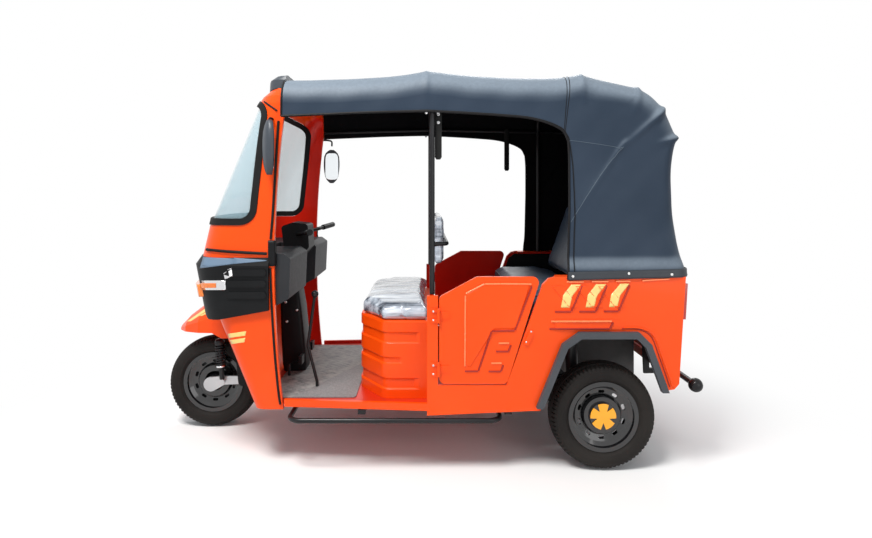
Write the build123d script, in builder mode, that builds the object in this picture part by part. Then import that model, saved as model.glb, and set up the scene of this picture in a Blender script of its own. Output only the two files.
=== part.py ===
"""Auto rickshaw, millimetres. X is forward, Y is to the vehicle's left, Z is up from the body's datum."""

import os
from math import cos, radians, sin

from build123d import *

os.makedirs("parts", exist_ok=True)

# Named clearances
FIT = 0.4  # between neighbouring pieces of one body
SHUT_GAP = 6.0  # round a door or a lid
RUN = 0.06  # a shaft in its bore
DATUM = 16.5  # height of the body's datum over the floor

# Wheels
TYRE_OD = 508.0
TYRE_W = 145.0
RIM_FLANGE_R = 169.5
RIM_SEAT_R = 152.4
RIM_WELL_R = 134.0
RIM_W = 114.0
RIM_T = 4.0
WHEELBASE = 2070.0
HALF_TRACK = 520.0
AXLE_Z = TYRE_OD / 2 - DATUM
FRONT_AXLE_X = 1156.0
REAR_AXLE_X = FRONT_AXLE_X - WHEELBASE
HUB_R = 34.0
AXLE_R = 11.0
SLOT_COUNT = 10
CAP_R = 68.0
STAR_POINTS = 5

# Body
FLOOR_Z = 300.0
FLOOR_T = 18.0
SIDE_Y = 620.0
SIDE_T = 20.0
BELT_Z = 920.0
POST_X = -63.0
POST_W = 52.0
POST_TOP_Z = 830.0
TAIL_TOP_X = -1291.0
TAIL_LOW_X = -1258.0
TAIL_LOW_Z = 365.0
WALL = 20.0
CAB_REAR_X = 500.0
CAB_SIDE_Y = 560.0

# Canopy
CANOPY_Y = 605.0
CANOPY_T = 8.0
TUBE_R = 12.5


def save(builder, name):
    """Stand a finished part on the floor's height, label it and write its file."""
    part = builder.part.moved(Location((0, 0, DATUM)))
    part.label = name
    export_step(part, f"parts/{name}.step")


def upright(y):
    """Plane of the side view at this Y; local x is X and local y is Z."""
    return Plane.XZ.offset(-y)


# Plan sections of the cab from the floor up: height, nose on the middle line, how far the nose falls back at
# the sides, corner radius, half width.
CAB_LEVELS = [
    (262.0, 796.0, 15.0, 60.0, 545.0),
    (700.0, 998.0, 35.0, 100.0, 555.0),
    (1000.0, 1134.0, 110.0, 150.0, CAB_SIDE_Y),
    (1190.0, 1096.0, 120.0, 160.0, CAB_SIDE_Y),
    (1757.0, 852.0, 105.0, 150.0, CAB_SIDE_Y),
    (1794.0, 827.0, 103.0, 145.0, 557.0),
    (1829.0, 784.0, 100.0, 140.0, 553.0),
    (1872.0, 728.0, 95.0, 130.0, 545.0),
]
# The same for the outside of the black cladding and for the roof's front cap
CLAD_LEVELS = [
    (690.0, 1100.0, 95.0, 130.0, 570.0),
    (739.0, 1114.0, 100.0, 150.0, 576.0),
    (857.0, 1139.0, 105.0, 150.0, 577.0),
    (966.0, 1163.0, 110.0, 150.0, 577.0),
    (1004.0, 1139.0, 110.0, 150.0, 563.0),
]
VISOR_LEVELS = [
    (1814.0, 776.0, 96.0, 60.0, 520.0),
    (1832.0, 797.0, 98.0, 70.0, 526.0),
    (1874.0, 795.0, 98.0, 70.0, 526.0),
    (1895.0, 768.0, 98.0, 60.0, 515.0),
    (1904.0, 718.0, 70.0, 40.0, 480.0),
]


def nose_form(levels, inset, mode=Mode.ADD):
    """A body with a rounded nose through these plan sections, moved inwards by inset."""
    sections = []
    for z, nose, fall, corner, half in levels:
        y = half - inset
        x = nose - inset
        with BuildSketch(Plane.XY.offset(z)) as section:
            with BuildLine():
                Line((CAB_REAR_X, -y), (x - fall, -y))
                ThreePointArc((x - fall, -y), (x, 0), (x - fall, y))
                Line((x - fall, y), (CAB_REAR_X, y))
                Line((CAB_REAR_X, y), (CAB_REAR_X, -y))
            make_face()
            fillet(section.vertices().sort_by(Axis.X)[-2:], corner - inset)
        sections.append(section.sketch)
    loft(sections, ruled=True, mode=mode)


def cab(inset, mode=Mode.ADD):
    """The cab's outer form moved inwards by inset."""
    nose_form(CAB_LEVELS, inset, mode)


def side_prism(points, y0, y1, mode=Mode.ADD, radius=0.0):
    """A side-view outline given as (X, Z) points, from y0 to y1."""
    with BuildSketch(upright(y1)) as outline:
        with BuildLine():
            if radius:
                FilletPolyline(*points, radius=radius, close=True)
            else:
                Polyline(*points, close=True)
        make_face()
    extrude(outline.sketch, amount=y1 - y0, mode=mode)


def tube_run(points, outer, bend=0.0, mode=Mode.ADD):
    """A round bar along straight runs with bends of one radius."""
    with BuildLine() as run:
        if bend:
            FilletPolyline(*points, radius=bend)
        else:
            Polyline(*points)
    path = run.line
    with BuildSketch(Plane(origin=path @ 0, z_dir=path % 0)) as ring:
        Circle(outer)
    sweep(ring.sketch, path=path, mode=mode)


# Wheels: one rim and tyre form, placed three times
def rim_solid(x, y, outward, capped):
    """A steel rim on its hub; outward is the way that the dish faces."""
    axle = Axis((x, y, AXLE_Z), (0, 1, 0))
    half = RIM_W / 2
    with BuildPart() as rim:
        with BuildSketch(Plane(origin=(x, y, AXLE_Z), x_dir=(0, outward, 0), z_dir=(outward, 0, 0))):
            with BuildLine():
                Polyline(
                    (-half, RIM_FLANGE_R),
                    (-half, RIM_SEAT_R - RIM_T),
                    (-half + 22, RIM_SEAT_R - RIM_T),
                    (-half + 30, RIM_WELL_R - RIM_T),
                    (half - 44, RIM_WELL_R - RIM_T),
                    (half - 52, 96),
                    (half - 34, 84),
                    (half - 34, 58),
                    (half - 58, 50),
                    (-half + 8, HUB_R + 12),
                    (-half + 8, AXLE_R + RUN),
                    (half - 22, AXLE_R + RUN),
                    (half - 22, HUB_R),
                    (half - 48, HUB_R + 12),
                    (half - 24, 56),
                    (half - 24, 88),
                    (half - 42, 100),
                    (half - 34, RIM_WELL_R - RIM_T),
                    (half - 22, RIM_SEAT_R - RIM_T),
                    (half, RIM_SEAT_R - RIM_T),
                    (half, RIM_FLANGE_R),
                    (half - RIM_T, RIM_FLANGE_R),
                    (half - RIM_T, RIM_SEAT_R),
                    (half - 22, RIM_SEAT_R),
                    (half - 32, RIM_WELL_R),
                    (-half + 30, RIM_WELL_R),
                    (-half + 22, RIM_SEAT_R),
                    (-half + RIM_T, RIM_SEAT_R),
                    (-half + RIM_T, RIM_FLANGE_R),
                    close=True,
                )
            make_face()
        revolve(axis=axle)
        with BuildSketch(Plane(origin=(x, y + outward * half, AXLE_Z), z_dir=(0, outward, 0))):
            with PolarLocations(112, SLOT_COUNT):
                SlotOverall(30, 15, rotation=90)
        extrude(amount=-70, mode=Mode.SUBTRACT)
        if capped:
            face_plane = Plane(
                origin=(x, y + outward * (half - 24), AXLE_Z), x_dir=(0, 0, 1), z_dir=(0, outward, 0)
            )
            with BuildSketch(face_plane):
                Circle(CAP_R)
            extrude(amount=16, taper=14)
            with BuildSketch(face_plane.offset(16)):
                with PolarLocations(27, STAR_POINTS):
                    Rectangle(38, 17)
                Circle(22)
            extrude(amount=2.5)
    return rim


def tyre_solid(x, y):
    """A closed tyre ring seated on the rim, with a clearance."""
    r_out = TYRE_OD / 2
    half = TYRE_W / 2
    seat = RIM_SEAT_R + FIT
    lip = RIM_W / 2 - RIM_T - FIT
    bulge_r = (RIM_FLANGE_R + r_out) / 2 - 4
    with BuildPart() as tyre:
        with BuildSketch(Plane(origin=(x, y, AXLE_Z), x_dir=(0, 1, 0), z_dir=(1, 0, 0))):
            with BuildLine():
                Line((-lip, seat), (-lip, RIM_FLANGE_R + 3))
                ThreePointArc((-lip, RIM_FLANGE_R + 3), (-half, bulge_r), (-half + 10, r_out - 12))
                ThreePointArc((-half + 10, r_out - 12), (0, r_out), (half - 10, r_out - 12))
                ThreePointArc((half - 10, r_out - 12), (half, bulge_r), (lip, RIM_FLANGE_R + 3))
                Line((lip, RIM_FLANGE_R + 3), (lip, seat))
                Line((lip, seat), (-lip, seat))
            make_face()
        revolve(axis=Axis((x, y, AXLE_Z), (0, 1, 0)))
    return tyre


WHEELS = [
    ("front", FRONT_AXLE_X, 0.0, 1, False),
    ("rear_left", REAR_AXLE_X, HALF_TRACK, 1, True),
    ("rear_right", REAR_AXLE_X, -HALF_TRACK, -1, True),
]
for name, wheel_x, wheel_y, outward, capped in WHEELS:
    save(rim_solid(wheel_x, wheel_y, outward, capped), f"{name}_rim")
    save(tyre_solid(wheel_x, wheel_y), f"{name}_tyre")

# Steering: the raked axis runs through this point, and other points are given along and ahead of it
RAKE = radians(25.0)
STEER_X = 687.0
STEER_Z = 1050.0
COLUMN_R = 17.0
COLUMN_L = 640.0
FORK_Y = 98.0
FORK_T = 30.0


def steer_at(along, ahead):
    """Side-view point this far down the steering axis and ahead of it."""
    return (
        STEER_X + along * sin(RAKE) + ahead * cos(RAKE),
        STEER_Z - along * cos(RAKE) + ahead * sin(RAKE),
    )


CROWN_TOP = COLUMN_L - 14
CROWN_LOW = COLUMN_L + 18
LEG_AHEAD = 30.0
LINK_PIVOT = (967.0, 262.0)
LINK_PIVOT_R = 9.0
SHOCK_TOP = steer_at(COLUMN_L + 28, 146.0)
SHOCK_FOOT = (1084.0, 260.0)
column_plane = Plane(
    origin=(STEER_X, 0, STEER_Z), x_dir=(0, 1, 0), z_dir=(sin(RAKE), 0, -cos(RAKE))
)

with BuildPart() as steering:
    with BuildSketch(column_plane.offset(-40)):
        Circle(COLUMN_R)
    extrude(amount=COLUMN_L + 40)
    # Crown plate round the column's foot; its left end stays ahead so that it passes the cab when turned
    with BuildSketch(column_plane.offset(CROWN_TOP)) as crown:
        Circle(36)
        with Locations((FORK_Y + FORK_T / 2, LEG_AHEAD)):
            Rectangle(FORK_T, 50)
        make_hull()
    extrude(crown.sketch, amount=CROWN_LOW - CROWN_TOP)
    arm_corners = [
        steer_at(CROWN_TOP, LEG_AHEAD),
        steer_at(CROWN_TOP + 12, 168),
        steer_at(CROWN_LOW - 6, 168),
        steer_at(CROWN_LOW, LEG_AHEAD),
    ]
    side_prism(arm_corners, FORK_Y, FORK_Y + FORK_T)
    with BuildSketch(upright(FORK_Y + FORK_T)):
        with Locations(steer_at(CROWN_LOW - 16, LEG_AHEAD)):
            Circle(26)
        with Locations(LINK_PIVOT):
            Circle(24)
        make_hull()
    extrude(amount=FORK_T)
    with BuildSketch(upright(FORK_Y + FORK_T)):
        with Locations(LINK_PIVOT):
            Circle(LINK_PIVOT_R)
    extrude(amount=FORK_T + 20)
    # Handlebar and its pod
    left_bar = [(548, 352, 1112), (600, 190, 1098), (680, 60, 1080)]
    right_bar = [(x, -y, z) for x, y, z in reversed(left_bar)]
    tube_run(left_bar + right_bar, 11, 40)
    for side in (1, -1):
        tube_run([(582, side * 246, 1103), (548, side * 352, 1112), (541, side * 374, 1114)], 16)
    side_prism([(640, 962), (742, 972), (762, 1128), (700, 1150), (612, 1140), (604, 1010)], -82, 82, radius=18)
save(steering, "steering_gear")

with BuildPart() as link:
    with BuildSketch(upright(FORK_Y - FIT)):
        with Locations(LINK_PIVOT):
            Circle(22)
        with Locations(SHOCK_FOOT):
            Circle(24)
        make_hull()
    extrude(amount=16)
    with BuildSketch(upright(FORK_Y - FIT)):
        with Locations(SHOCK_FOOT):
            Circle(24)
        with Locations((FRONT_AXLE_X, AXLE_Z)):
            Circle(40)
        make_hull()
    extrude(amount=16)
    with BuildSketch(upright(FORK_Y - FIT)):
        with Locations(LINK_PIVOT):
            Circle(LINK_PIVOT_R + FIT)
    extrude(amount=16, mode=Mode.SUBTRACT)
    with BuildSketch(upright(FORK_Y - FIT)):
        with Locations((FRONT_AXLE_X, AXLE_Z)):
            Circle(AXLE_R)
    extrude(amount=FORK_Y - FIT + RIM_W / 2 - 14)
    # Lower shock mount and the shock with its spring sleeve
    with BuildSketch(upright(FORK_Y + FORK_T - 2)):
        with Locations(SHOCK_FOOT):
            Circle(14)
    extrude(amount=FORK_T + 2)
save(link, "front_link")

with BuildPart() as shock:
    shock_y = FORK_Y + FORK_T / 2
    start = Vector(SHOCK_FOOT[0], shock_y, SHOCK_FOOT[1])
    end = Vector(SHOCK_TOP[0], shock_y, SHOCK_TOP[1])
    along = (end - start).normalized()
    with BuildSketch(Plane(origin=start + along * 15, z_dir=along)):
        Circle(14.5)
    extrude(amount=70)
    with BuildSketch(Plane(origin=start + along * 84, z_dir=along)):
        Circle(28)
    extrude(amount=(end - start).length - 84 - 6)
save(shock, "front_shock")

# Cab shell: side outline of the wraparound windshield opening, and the door cut behind the A-pillar
WINDOW = [(706, 1745), (1300, 2042), (1300, 1160), (769, 1160)]
WINDOW_R = 88.0
BEARING = (330.0, COLUMN_L - 50)
GLASS_T = 5.0
GLASS_DEEP = 7.0
SEAL = 34.0
DOOR_CUT = [(631, 1690), (677, 1060), (637, 262)]
CLAD_LINE = [(702, 750), (951, 704), (1010, 700), (1072, 740), (1300, 748)]
CLAD_TOP = 1004.0
HEADLAMP_Y = 205.0
HEADLAMP_Z = 862.0
HEADLAMP_R = 64.0
MARKER_Z = (806.0, 868.0)


def window_prism(inset, mode):
    """The windshield's side outline across the cab, made smaller by inset."""
    with BuildSketch(upright(900)) as outline:
        with BuildLine():
            Polyline(*WINDOW, close=True)
        make_face()
        if inset:
            offset(amount=-inset, kind=Kind.INTERSECTION, mode=Mode.REPLACE)
        fillet(outline.vertices().sort_by(Axis.X)[:2], WINDOW_R - inset)
    extrude(outline.sketch, amount=1800, mode=mode)


def behind_door_cut(mode=Mode.SUBTRACT, back=0.0):
    """Everything behind the curved rear edge of the A-pillar."""
    with BuildSketch(upright(900)) as outline:
        with BuildLine():
            ThreePointArc(
                (DOOR_CUT[0][0] + back, 1690), (DOOR_CUT[1][0] + back, 1060), (DOOR_CUT[2][0] + back, 262)
            )
            Polyline(
                (DOOR_CUT[2][0] + back, 262),
                (DOOR_CUT[2][0] + back, 100),
                (0, 100),
                (0, 2100),
                (DOOR_CUT[0][0] + back, 2100),
                (DOOR_CUT[0][0] + back, 1690),
            )
        make_face()
    extrude(outline.sketch, amount=1800, mode=mode)


def column_bearing():
    """Collar that carries the raked column where it leaves the cab."""
    with BuildSketch(column_plane.offset(BEARING[0])) as collar:
        Circle(COLUMN_R + 15)
    extrude(collar.sketch, amount=BEARING[1] - BEARING[0])
    with BuildSketch(column_plane.offset(BEARING[0] - 40)) as bore:
        Circle(COLUMN_R + RUN)
    extrude(bore.sketch, amount=BEARING[1] - BEARING[0] + 80, mode=Mode.SUBTRACT)


ROOF_CROWN = 1860.0
ROOF_FALL = 18.0
ROOF_CORNER_R = 90.0


def under_roof(inset):
    """Rounds the top of the cab so that it lies under the hood's shoulders."""
    half = CAB_SIDE_Y + 5 - inset
    side_top = ROOF_CROWN - ROOF_FALL - inset
    with BuildSketch(Plane.YZ.offset(0)) as arch:
        with BuildLine():
            Line((-half, 200), (half, 200))
            Line((half, 200), (half, side_top))
            ThreePointArc((half, side_top), (0, ROOF_CROWN - inset), (-half, side_top))
            Line((-half, side_top), (-half, 200))
        make_face()
        fillet(arch.vertices().sort_by(Axis.Z)[-2:], ROOF_CORNER_R - inset)
    extrude(arch.sketch, amount=1500, mode=Mode.INTERSECT)


with BuildPart() as cowl_hollow:
    cab(WALL)
    under_roof(WALL)
with BuildPart() as cowl:
    cab(0)
    under_roof(0)
    add(cowl_hollow.part, mode=Mode.SUBTRACT)
    behind_door_cut()
    side_prism([(0, 200), (1300, 200), (1300, 264), (0, 264)], -900, 900, Mode.SUBTRACT)
    window_prism(0, Mode.SUBTRACT)
    column_bearing()
save(cowl, "cowl")

with BuildPart() as windshield:
    cab(GLASS_DEEP)
    cab(GLASS_DEEP + GLASS_T, Mode.SUBTRACT)
    window_prism(SEAL, Mode.INTERSECT)
save(windshield, "windshield")

with BuildPart() as seal:
    cab(-5)
    cab(WALL - 4, Mode.SUBTRACT)
    window_prism(1, Mode.INTERSECT)
    window_prism(SEAL - FIT, Mode.SUBTRACT)
save(seal, "windshield_seal")

# Black cladding round the nose, with its lamps
clad_outline = [(702, CLAD_TOP)] + CLAD_LINE + [(1300, CLAD_TOP)]
with BuildPart() as ribs:
    nose_form(CLAD_LEVELS, -8)
    nose_form(CLAD_LEVELS, 2, Mode.SUBTRACT)
    with BuildSketch(upright(900)):
        with Locations((806, 934), (806, 880), (806, 826)):
            SlotOverall(190, 32)
    extrude(amount=1800, mode=Mode.INTERSECT)

with BuildPart() as cladding:
    nose_form(CLAD_LEVELS, 0)
    cab(-FIT, Mode.SUBTRACT)
    side_prism(clad_outline, -900, 900, Mode.INTERSECT)
    add(ribs.part)
    with BuildSketch(Plane.YZ.offset(1400)):
        with Locations((HEADLAMP_Y, HEADLAMP_Z), (-HEADLAMP_Y, HEADLAMP_Z)):
            Circle(HEADLAMP_R + FIT)
    extrude(amount=-500, mode=Mode.SUBTRACT)
save(cladding, "front_cladding")

# Lamps in the cladding
LAMP_DEPTH = 46.0
with BuildPart() as bowls:
    with BuildSketch(Plane.YZ.offset(900)) as round_bowls:
        with Locations((HEADLAMP_Y, HEADLAMP_Z), (-HEADLAMP_Y, HEADLAMP_Z)):
            Circle(HEADLAMP_R)
    with BuildSketch(Plane.YZ.offset(900)) as hollows:
        with Locations((HEADLAMP_Y, HEADLAMP_Z), (-HEADLAMP_Y, HEADLAMP_Z)):
            Circle(HEADLAMP_R - 5)
    with BuildPart() as hollow:
        extrude(hollows.sketch, amount=400)
        nose_form(CLAD_LEVELS, LAMP_DEPTH, Mode.SUBTRACT)
    extrude(round_bowls.sketch, amount=400)
    nose_form(CLAD_LEVELS, -2, Mode.INTERSECT)
    nose_form(CLAD_LEVELS, LAMP_DEPTH + 8, Mode.SUBTRACT)
    cab(-FIT, Mode.SUBTRACT)
    add(hollow.part, mode=Mode.SUBTRACT)
save(bowls, "lamp_bowls")

with BuildPart() as lenses:
    with BuildSketch(Plane.YZ.offset(900)):
        with Locations((HEADLAMP_Y, HEADLAMP_Z), (-HEADLAMP_Y, HEADLAMP_Z)):
            Circle(HEADLAMP_R - 5 - FIT)
    extrude(amount=400)
    nose_form(CLAD_LEVELS, -3, Mode.INTERSECT)
    nose_form(CLAD_LEVELS, 3, Mode.SUBTRACT)
save(lenses, "headlamp_lenses")

with BuildPart() as markers:
    nose_form(CLAD_LEVELS, -16)
    nose_form(CLAD_LEVELS, -FIT, Mode.SUBTRACT)
    with BuildSketch(Plane.YZ.offset(892)):
        with Locations((415, sum(MARKER_Z) / 2), (-415, sum(MARKER_Z) / 2)):
            RectangleRounded(220, MARKER_Z[1] - MARKER_Z[0], 12)
    extrude(amount=400, mode=Mode.INTERSECT)
save(markers, "signal_lamps")

# Front beak over the wheel: place along X, half width, underside, top of the side, crown
BEAK_LEVELS = [
    (900.0, 192.0, 520.0, 640.0, 790.0),
    (1063.0, 192.0, 520.0, 640.0, 770.0),
    (1117.0, 188.0, 548.0, 632.0, 738.0),
    (1200.0, 170.0, 545.0, 604.0, 686.0),
    (1290.0, 118.0, 540.0, 572.0, 618.0),
    (1345.0, 44.0, 534.0, 545.0, 562.0),
]
BEAK_T = 6.0


def beak_form(inset, mode=Mode.ADD):
    """The beak's form moved inwards, open below when inset."""
    sections = []
    for x, half, low, side_top, crown in BEAK_LEVELS:
        end = x - inset if x == BEAK_LEVELS[-1][0] else x
        y = half - inset
        with BuildSketch(Plane.YZ.offset(end)) as section:
            with BuildLine():
                Line((-y, low - 2 * inset), (y, low - 2 * inset))
                Line((y, low - 2 * inset), (y, side_top - inset))
                ThreePointArc((y, side_top - inset), (0, crown - inset), (-y, side_top - inset))
                Line((-y, side_top - inset), (-y, low - 2 * inset))
            make_face()
        sections.append(section.sketch)
    loft(sections, ruled=True, mode=mode)


with BuildPart() as beak:
    beak_form(0)
    beak_form(BEAK_T, Mode.SUBTRACT)
    cab(-FIT, Mode.SUBTRACT)
    below = [(x, z - 4) for x, z in CLAD_LINE]
    side_prism(below + [(1300, 950), (702, 950)], -300, 300, Mode.SUBTRACT)
save(beak, "front_beak")

# Floor and mat
FLOOR_NOSE_X = 768.0
BENCH_X = -506.0
PLATE_T = 12.0
FLOOR_END_X = BENCH_X - PLATE_T
MAT_T = 5.0
inner_cab_y = 545.0 - WALL - FIT
with BuildPart() as floor:
    with BuildSketch(Plane.XY.offset(FLOOR_Z - FLOOR_T)):
        with BuildLine():
            Polyline(
                (FLOOR_NOSE_X, -inner_cab_y + 40),
                (FLOOR_NOSE_X, inner_cab_y - 40),
                (FLOOR_NOSE_X - 40, inner_cab_y),
                (610, inner_cab_y),
                (610, inner_cab_y + 14),
                (POST_X, SIDE_Y - SIDE_T - FIT),
                (FLOOR_END_X, SIDE_Y - SIDE_T - FIT),
                (FLOOR_END_X, -SIDE_Y + SIDE_T + FIT),
                (POST_X, -SIDE_Y + SIDE_T + FIT),
                (610, -inner_cab_y - 14),
                (610, -inner_cab_y),
                (FLOOR_NOSE_X - 40, -inner_cab_y),
                close=True,
            )
        make_face()
    extrude(amount=FLOOR_T)
save(floor, "floor_pan")

with BuildPart() as mat:
    with BuildSketch(Plane.XY.offset(FLOOR_Z + FIT)):
        with Locations((510, 0)):
            RectangleRounded(440, 980, 20)
    extrude(amount=MAT_T)
save(mat, "floor_mat")

# Body sides: sill, post and quarter panel. Outlines in the side view.
ARCH = [
    (-579, 250),
    (-579, 304),
    (-701, 605),
    (-781, 661),
    (-1063, 661),
    (-1119, 605),
    (-1203, 375),
    (-1203, 250),
]
FLARE_W = 30.0
FLARE_OUT = 30.0
FLARE_MID_X = -920.0
DOOR = [
    (POST_X - POST_W - SHUT_GAP, 412),
    (POST_X - POST_W - SHUT_GAP, 824),
    (-300, BELT_Z),
    (-604, BELT_Z),
    (-442, 412),
]
DOOR_FIELD = [(-243, 446), (-243, 840), (-331, 890), (-558, 890), (-486, 672), (-385, 671)]
FIELD_RISE = 5.0
FIELD_BEVEL = 9.0
LATCH = [(-520, 600), (-548, 668), (-570, 660), (-541, 594)]
SILL_TOP_Z = 318.0
SLASH_X = (-734, -844, -952)


def arch_outline(inward):
    """The trapezoid wheel arch, drawn smaller by inward."""
    with BuildSketch(upright(700)) as arch:
        with BuildLine():
            Polyline(*ARCH, close=True)
        make_face()
        if inward:
            offset(amount=-inward, kind=Kind.INTERSECTION, mode=Mode.REPLACE)
    return arch.sketch


def body_side(side):
    """One side's panel; side is 1 on the left and -1 on the right."""
    y_in = SIDE_Y - SIDE_T
    with BuildPart() as panel:
        outline = [
            (POST_X, 262),
            (POST_X, POST_TOP_Z),
            (POST_X - POST_W, POST_TOP_Z),
            (POST_X - POST_W, 412 - SHUT_GAP),
            (-446 + SHUT_GAP, 412 - SHUT_GAP),
            (-604 - SHUT_GAP - 2, BELT_Z - 36),
            (-640, BELT_Z - 8),
            (-672, BELT_Z),
            (TAIL_TOP_X, BELT_Z),
            (TAIL_LOW_X - 1, TAIL_LOW_Z + 47),
            (TAIL_LOW_X + 22, TAIL_LOW_Z + 21),
            (-1180, TAIL_LOW_Z + 13),
            (-1180, 284),
            (-560, 284),
        ]
        side_prism(outline, y_in, SIDE_Y)
        extrude(arch_outline(FLARE_W - 8), amount=200, mode=Mode.SUBTRACT)
        # Top flange that the hood frame stands on
        flange_end = TAIL_TOP_X + 23
        flange = [(-680, BELT_Z - 14), (-680, BELT_Z), (flange_end, BELT_Z), (flange_end, BELT_Z - 14)]
        side_prism(flange, y_in - 50, y_in)
        # Sill strip beside the doorway, narrowing with the cab
        with BuildSketch(Plane.XY.offset(284)):
            with BuildLine():
                Polyline(
                    (POST_X, y_in), (POST_X, SIDE_Y), (628, CAB_SIDE_Y + 4), (628, CAB_SIDE_Y - 14), close=True
                )
            make_face()
        extrude(amount=SILL_TOP_Z - 284)
        # Three slanted embossed slashes and a bar on the quarter panel
        for x in SLASH_X:
            side_prism([(x, 778), (x + 78, 876), (x + 26, 876), (x - 52, 778)], SIDE_Y, SIDE_Y + 4)
        side_prism([(-664, 716), (-974, 716), (-990, 672), (-676, 672)], SIDE_Y, SIDE_Y + 4)
        side_prism(LATCH, SIDE_Y, SIDE_Y + 7, radius=4)
    if side < 0:
        with BuildPart() as mirrored:
            add(panel.part)
            mirror(about=Plane.XZ, mode=Mode.REPLACE)
        return mirrored
    return panel


save(body_side(1), "side_left")
save(body_side(-1), "side_right")

with BuildPart() as flares:
    extrude(arch_outline(0), amount=700 - SIDE_Y - FIT)
    extrude(arch_outline(FLARE_W), amount=700 - SIDE_Y - FIT, mode=Mode.SUBTRACT)
    side_prism(
        [(-500, 200), (-500, 304), (FLARE_MID_X, 304), (FLARE_MID_X, 378), (-1300, 378), (-1300, 200)],
        500,
        800,
        Mode.SUBTRACT,
    )
    side_prism([(-500, 200), (-500, 800), (-1300, 800), (-1300, 200)], SIDE_Y + FLARE_OUT, 800, Mode.SUBTRACT)
    mirror(about=Plane.XZ)
save(flares, "wheel_flares")

# Doors, hung at the post
HINGE_X = POST_X - POST_W - SHUT_GAP / 2
HINGE_Y = SIDE_Y + 11.0
HINGE_Z = (737.0, 483.0)
HINGE_H = 66.0
PIN_R = 4.0
KNUCKLE_R = 8.0


def field_outline(y, inward):
    """The raised field's outline on a plane of the side view."""
    with BuildSketch(upright(y)) as field:
        with BuildLine():
            FilletPolyline(*DOOR_FIELD, radius=18, close=True)
        make_face()
        if inward:
            offset(amount=-inward, mode=Mode.REPLACE)
    return field.sketch


def door(side):
    """A side door with its raised field and hinge straps."""
    y_in = SIDE_Y - SIDE_T
    with BuildPart() as leaf:
        side_prism(DOOR, y_in, SIDE_Y, radius=28)
        loft([field_outline(SIDE_Y - 1, 0), field_outline(SIDE_Y + FIELD_RISE, FIELD_BEVEL)], ruled=True)
        for z in HINGE_Z:
            with Locations((HINGE_X - 30, SIDE_Y + 1.5, z)):
                Box(42, 5, HINGE_H * 0.5 - 1)
            with BuildSketch(Plane.XY.offset(z - HINGE_H * 0.25 + 0.5)):
                with Locations((HINGE_X, HINGE_Y)):
                    Circle(KNUCKLE_R)
                with Locations((HINGE_X - 8, HINGE_Y - 6)):
                    Rectangle(16, 4)
            extrude(amount=HINGE_H * 0.5 - 1)
            with Locations((HINGE_X, HINGE_Y, z)):
                Cylinder(PIN_R + RUN, HINGE_H, mode=Mode.SUBTRACT)
    if side < 0:
        with BuildPart() as mirrored:
            add(leaf.part)
            mirror(about=Plane.XZ, mode=Mode.REPLACE)
        return mirrored
    return leaf


save(door(1), "door_left")
save(door(-1), "door_right")

with BuildPart() as hinges:
    for z in HINGE_Z:
        with Locations((HINGE_X, HINGE_Y, z)):
            Cylinder(PIN_R, HINGE_H)
        for end in (1, -1):
            with Locations((HINGE_X, HINGE_Y, z + end * HINGE_H * 0.375)):
                Cylinder(KNUCKLE_R, HINGE_H * 0.25)
            with Locations((HINGE_X + 20, SIDE_Y + FIT + 2.5, z + end * HINGE_H * 0.375)):
                Box(36, 5, HINGE_H * 0.25)
            with Locations((HINGE_X + 4, SIDE_Y + FIT + 4.5, z + end * HINGE_H * 0.375)):
                Box(10, 8, HINGE_H * 0.25)
    mirror(about=Plane.XZ)
save(hinges, "door_hinges")

# Rear panel with its engine hatch
PANEL_Y = SIDE_Y - SIDE_T - FIT
HATCH_Y = 360.0
HATCH_LOW = 470.0
HATCH_HIGH = 796.0
REAR_T = 20.0


def tail_x(z):
    """Outer face of the leaning rear panel at this height."""
    return TAIL_LOW_X + (TAIL_TOP_X - TAIL_LOW_X) * (z - TAIL_LOW_Z) / (BELT_Z - TAIL_LOW_Z)


def tail_slab(z0, z1, y0, y1, mode=Mode.ADD, out=0.0, depth=REAR_T):
    """A slab lying in the leaning rear face."""
    side_prism(
        [
            (tail_x(z0) - out, z0),
            (tail_x(z1) - out, z1),
            (tail_x(z1) - out + depth, z1),
            (tail_x(z0) - out + depth, z0),
        ],
        y0,
        y1,
        mode,
    )


HATCH_PIN_R = 4.0
HATCH_PIN_L = 40.0
HATCH_AXIS = (tail_x(806) - 9, 808.0)
with BuildPart() as rear:
    tail_slab(420, BELT_Z, -PANEL_Y, PANEL_Y)
    tail_slab(HATCH_LOW - 5, HATCH_HIGH + 5, -HATCH_Y - 5, HATCH_Y + 5, Mode.SUBTRACT, 5, 40)
    for y in (-300, 300):
        with Locations((HATCH_AXIS[0], y, HATCH_AXIS[1])):
            Cylinder(HATCH_PIN_R, HATCH_PIN_L, rotation=(90, 0, 0))
            for end in (-1, 1):
                with Locations((0, end * 15, 0)):
                    Box(18, 9, 10)
save(rear, "rear_panel")

with BuildPart() as hatch:
    tail_slab(HATCH_LOW, HATCH_HIGH, -HATCH_Y, HATCH_Y, depth=14)
    for n in range(6):
        z = 540 + n * 34
        tail_slab(z, z + 14, -240, 240, Mode.SUBTRACT, 4, 26)
    strap_low = tail_x(780) + 2
    hinge_strap = [
        (HATCH_AXIS[0] - 7, 800),
        (HATCH_AXIS[0] - 7, 815),
        (HATCH_AXIS[0] + 5, 815),
        (HATCH_AXIS[0] + 5, 790),
        (strap_low, 772),
        (strap_low - 11, 780),
    ]
    for y in (-300, 300):
        side_prism(hinge_strap, y - 9, y + 9)
        with Locations((HATCH_AXIS[0], y, HATCH_AXIS[1])):
            Cylinder(HATCH_PIN_R + RUN, HATCH_PIN_L, rotation=(90, 0, 0), mode=Mode.SUBTRACT)
save(hatch, "engine_hatch")

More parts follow.
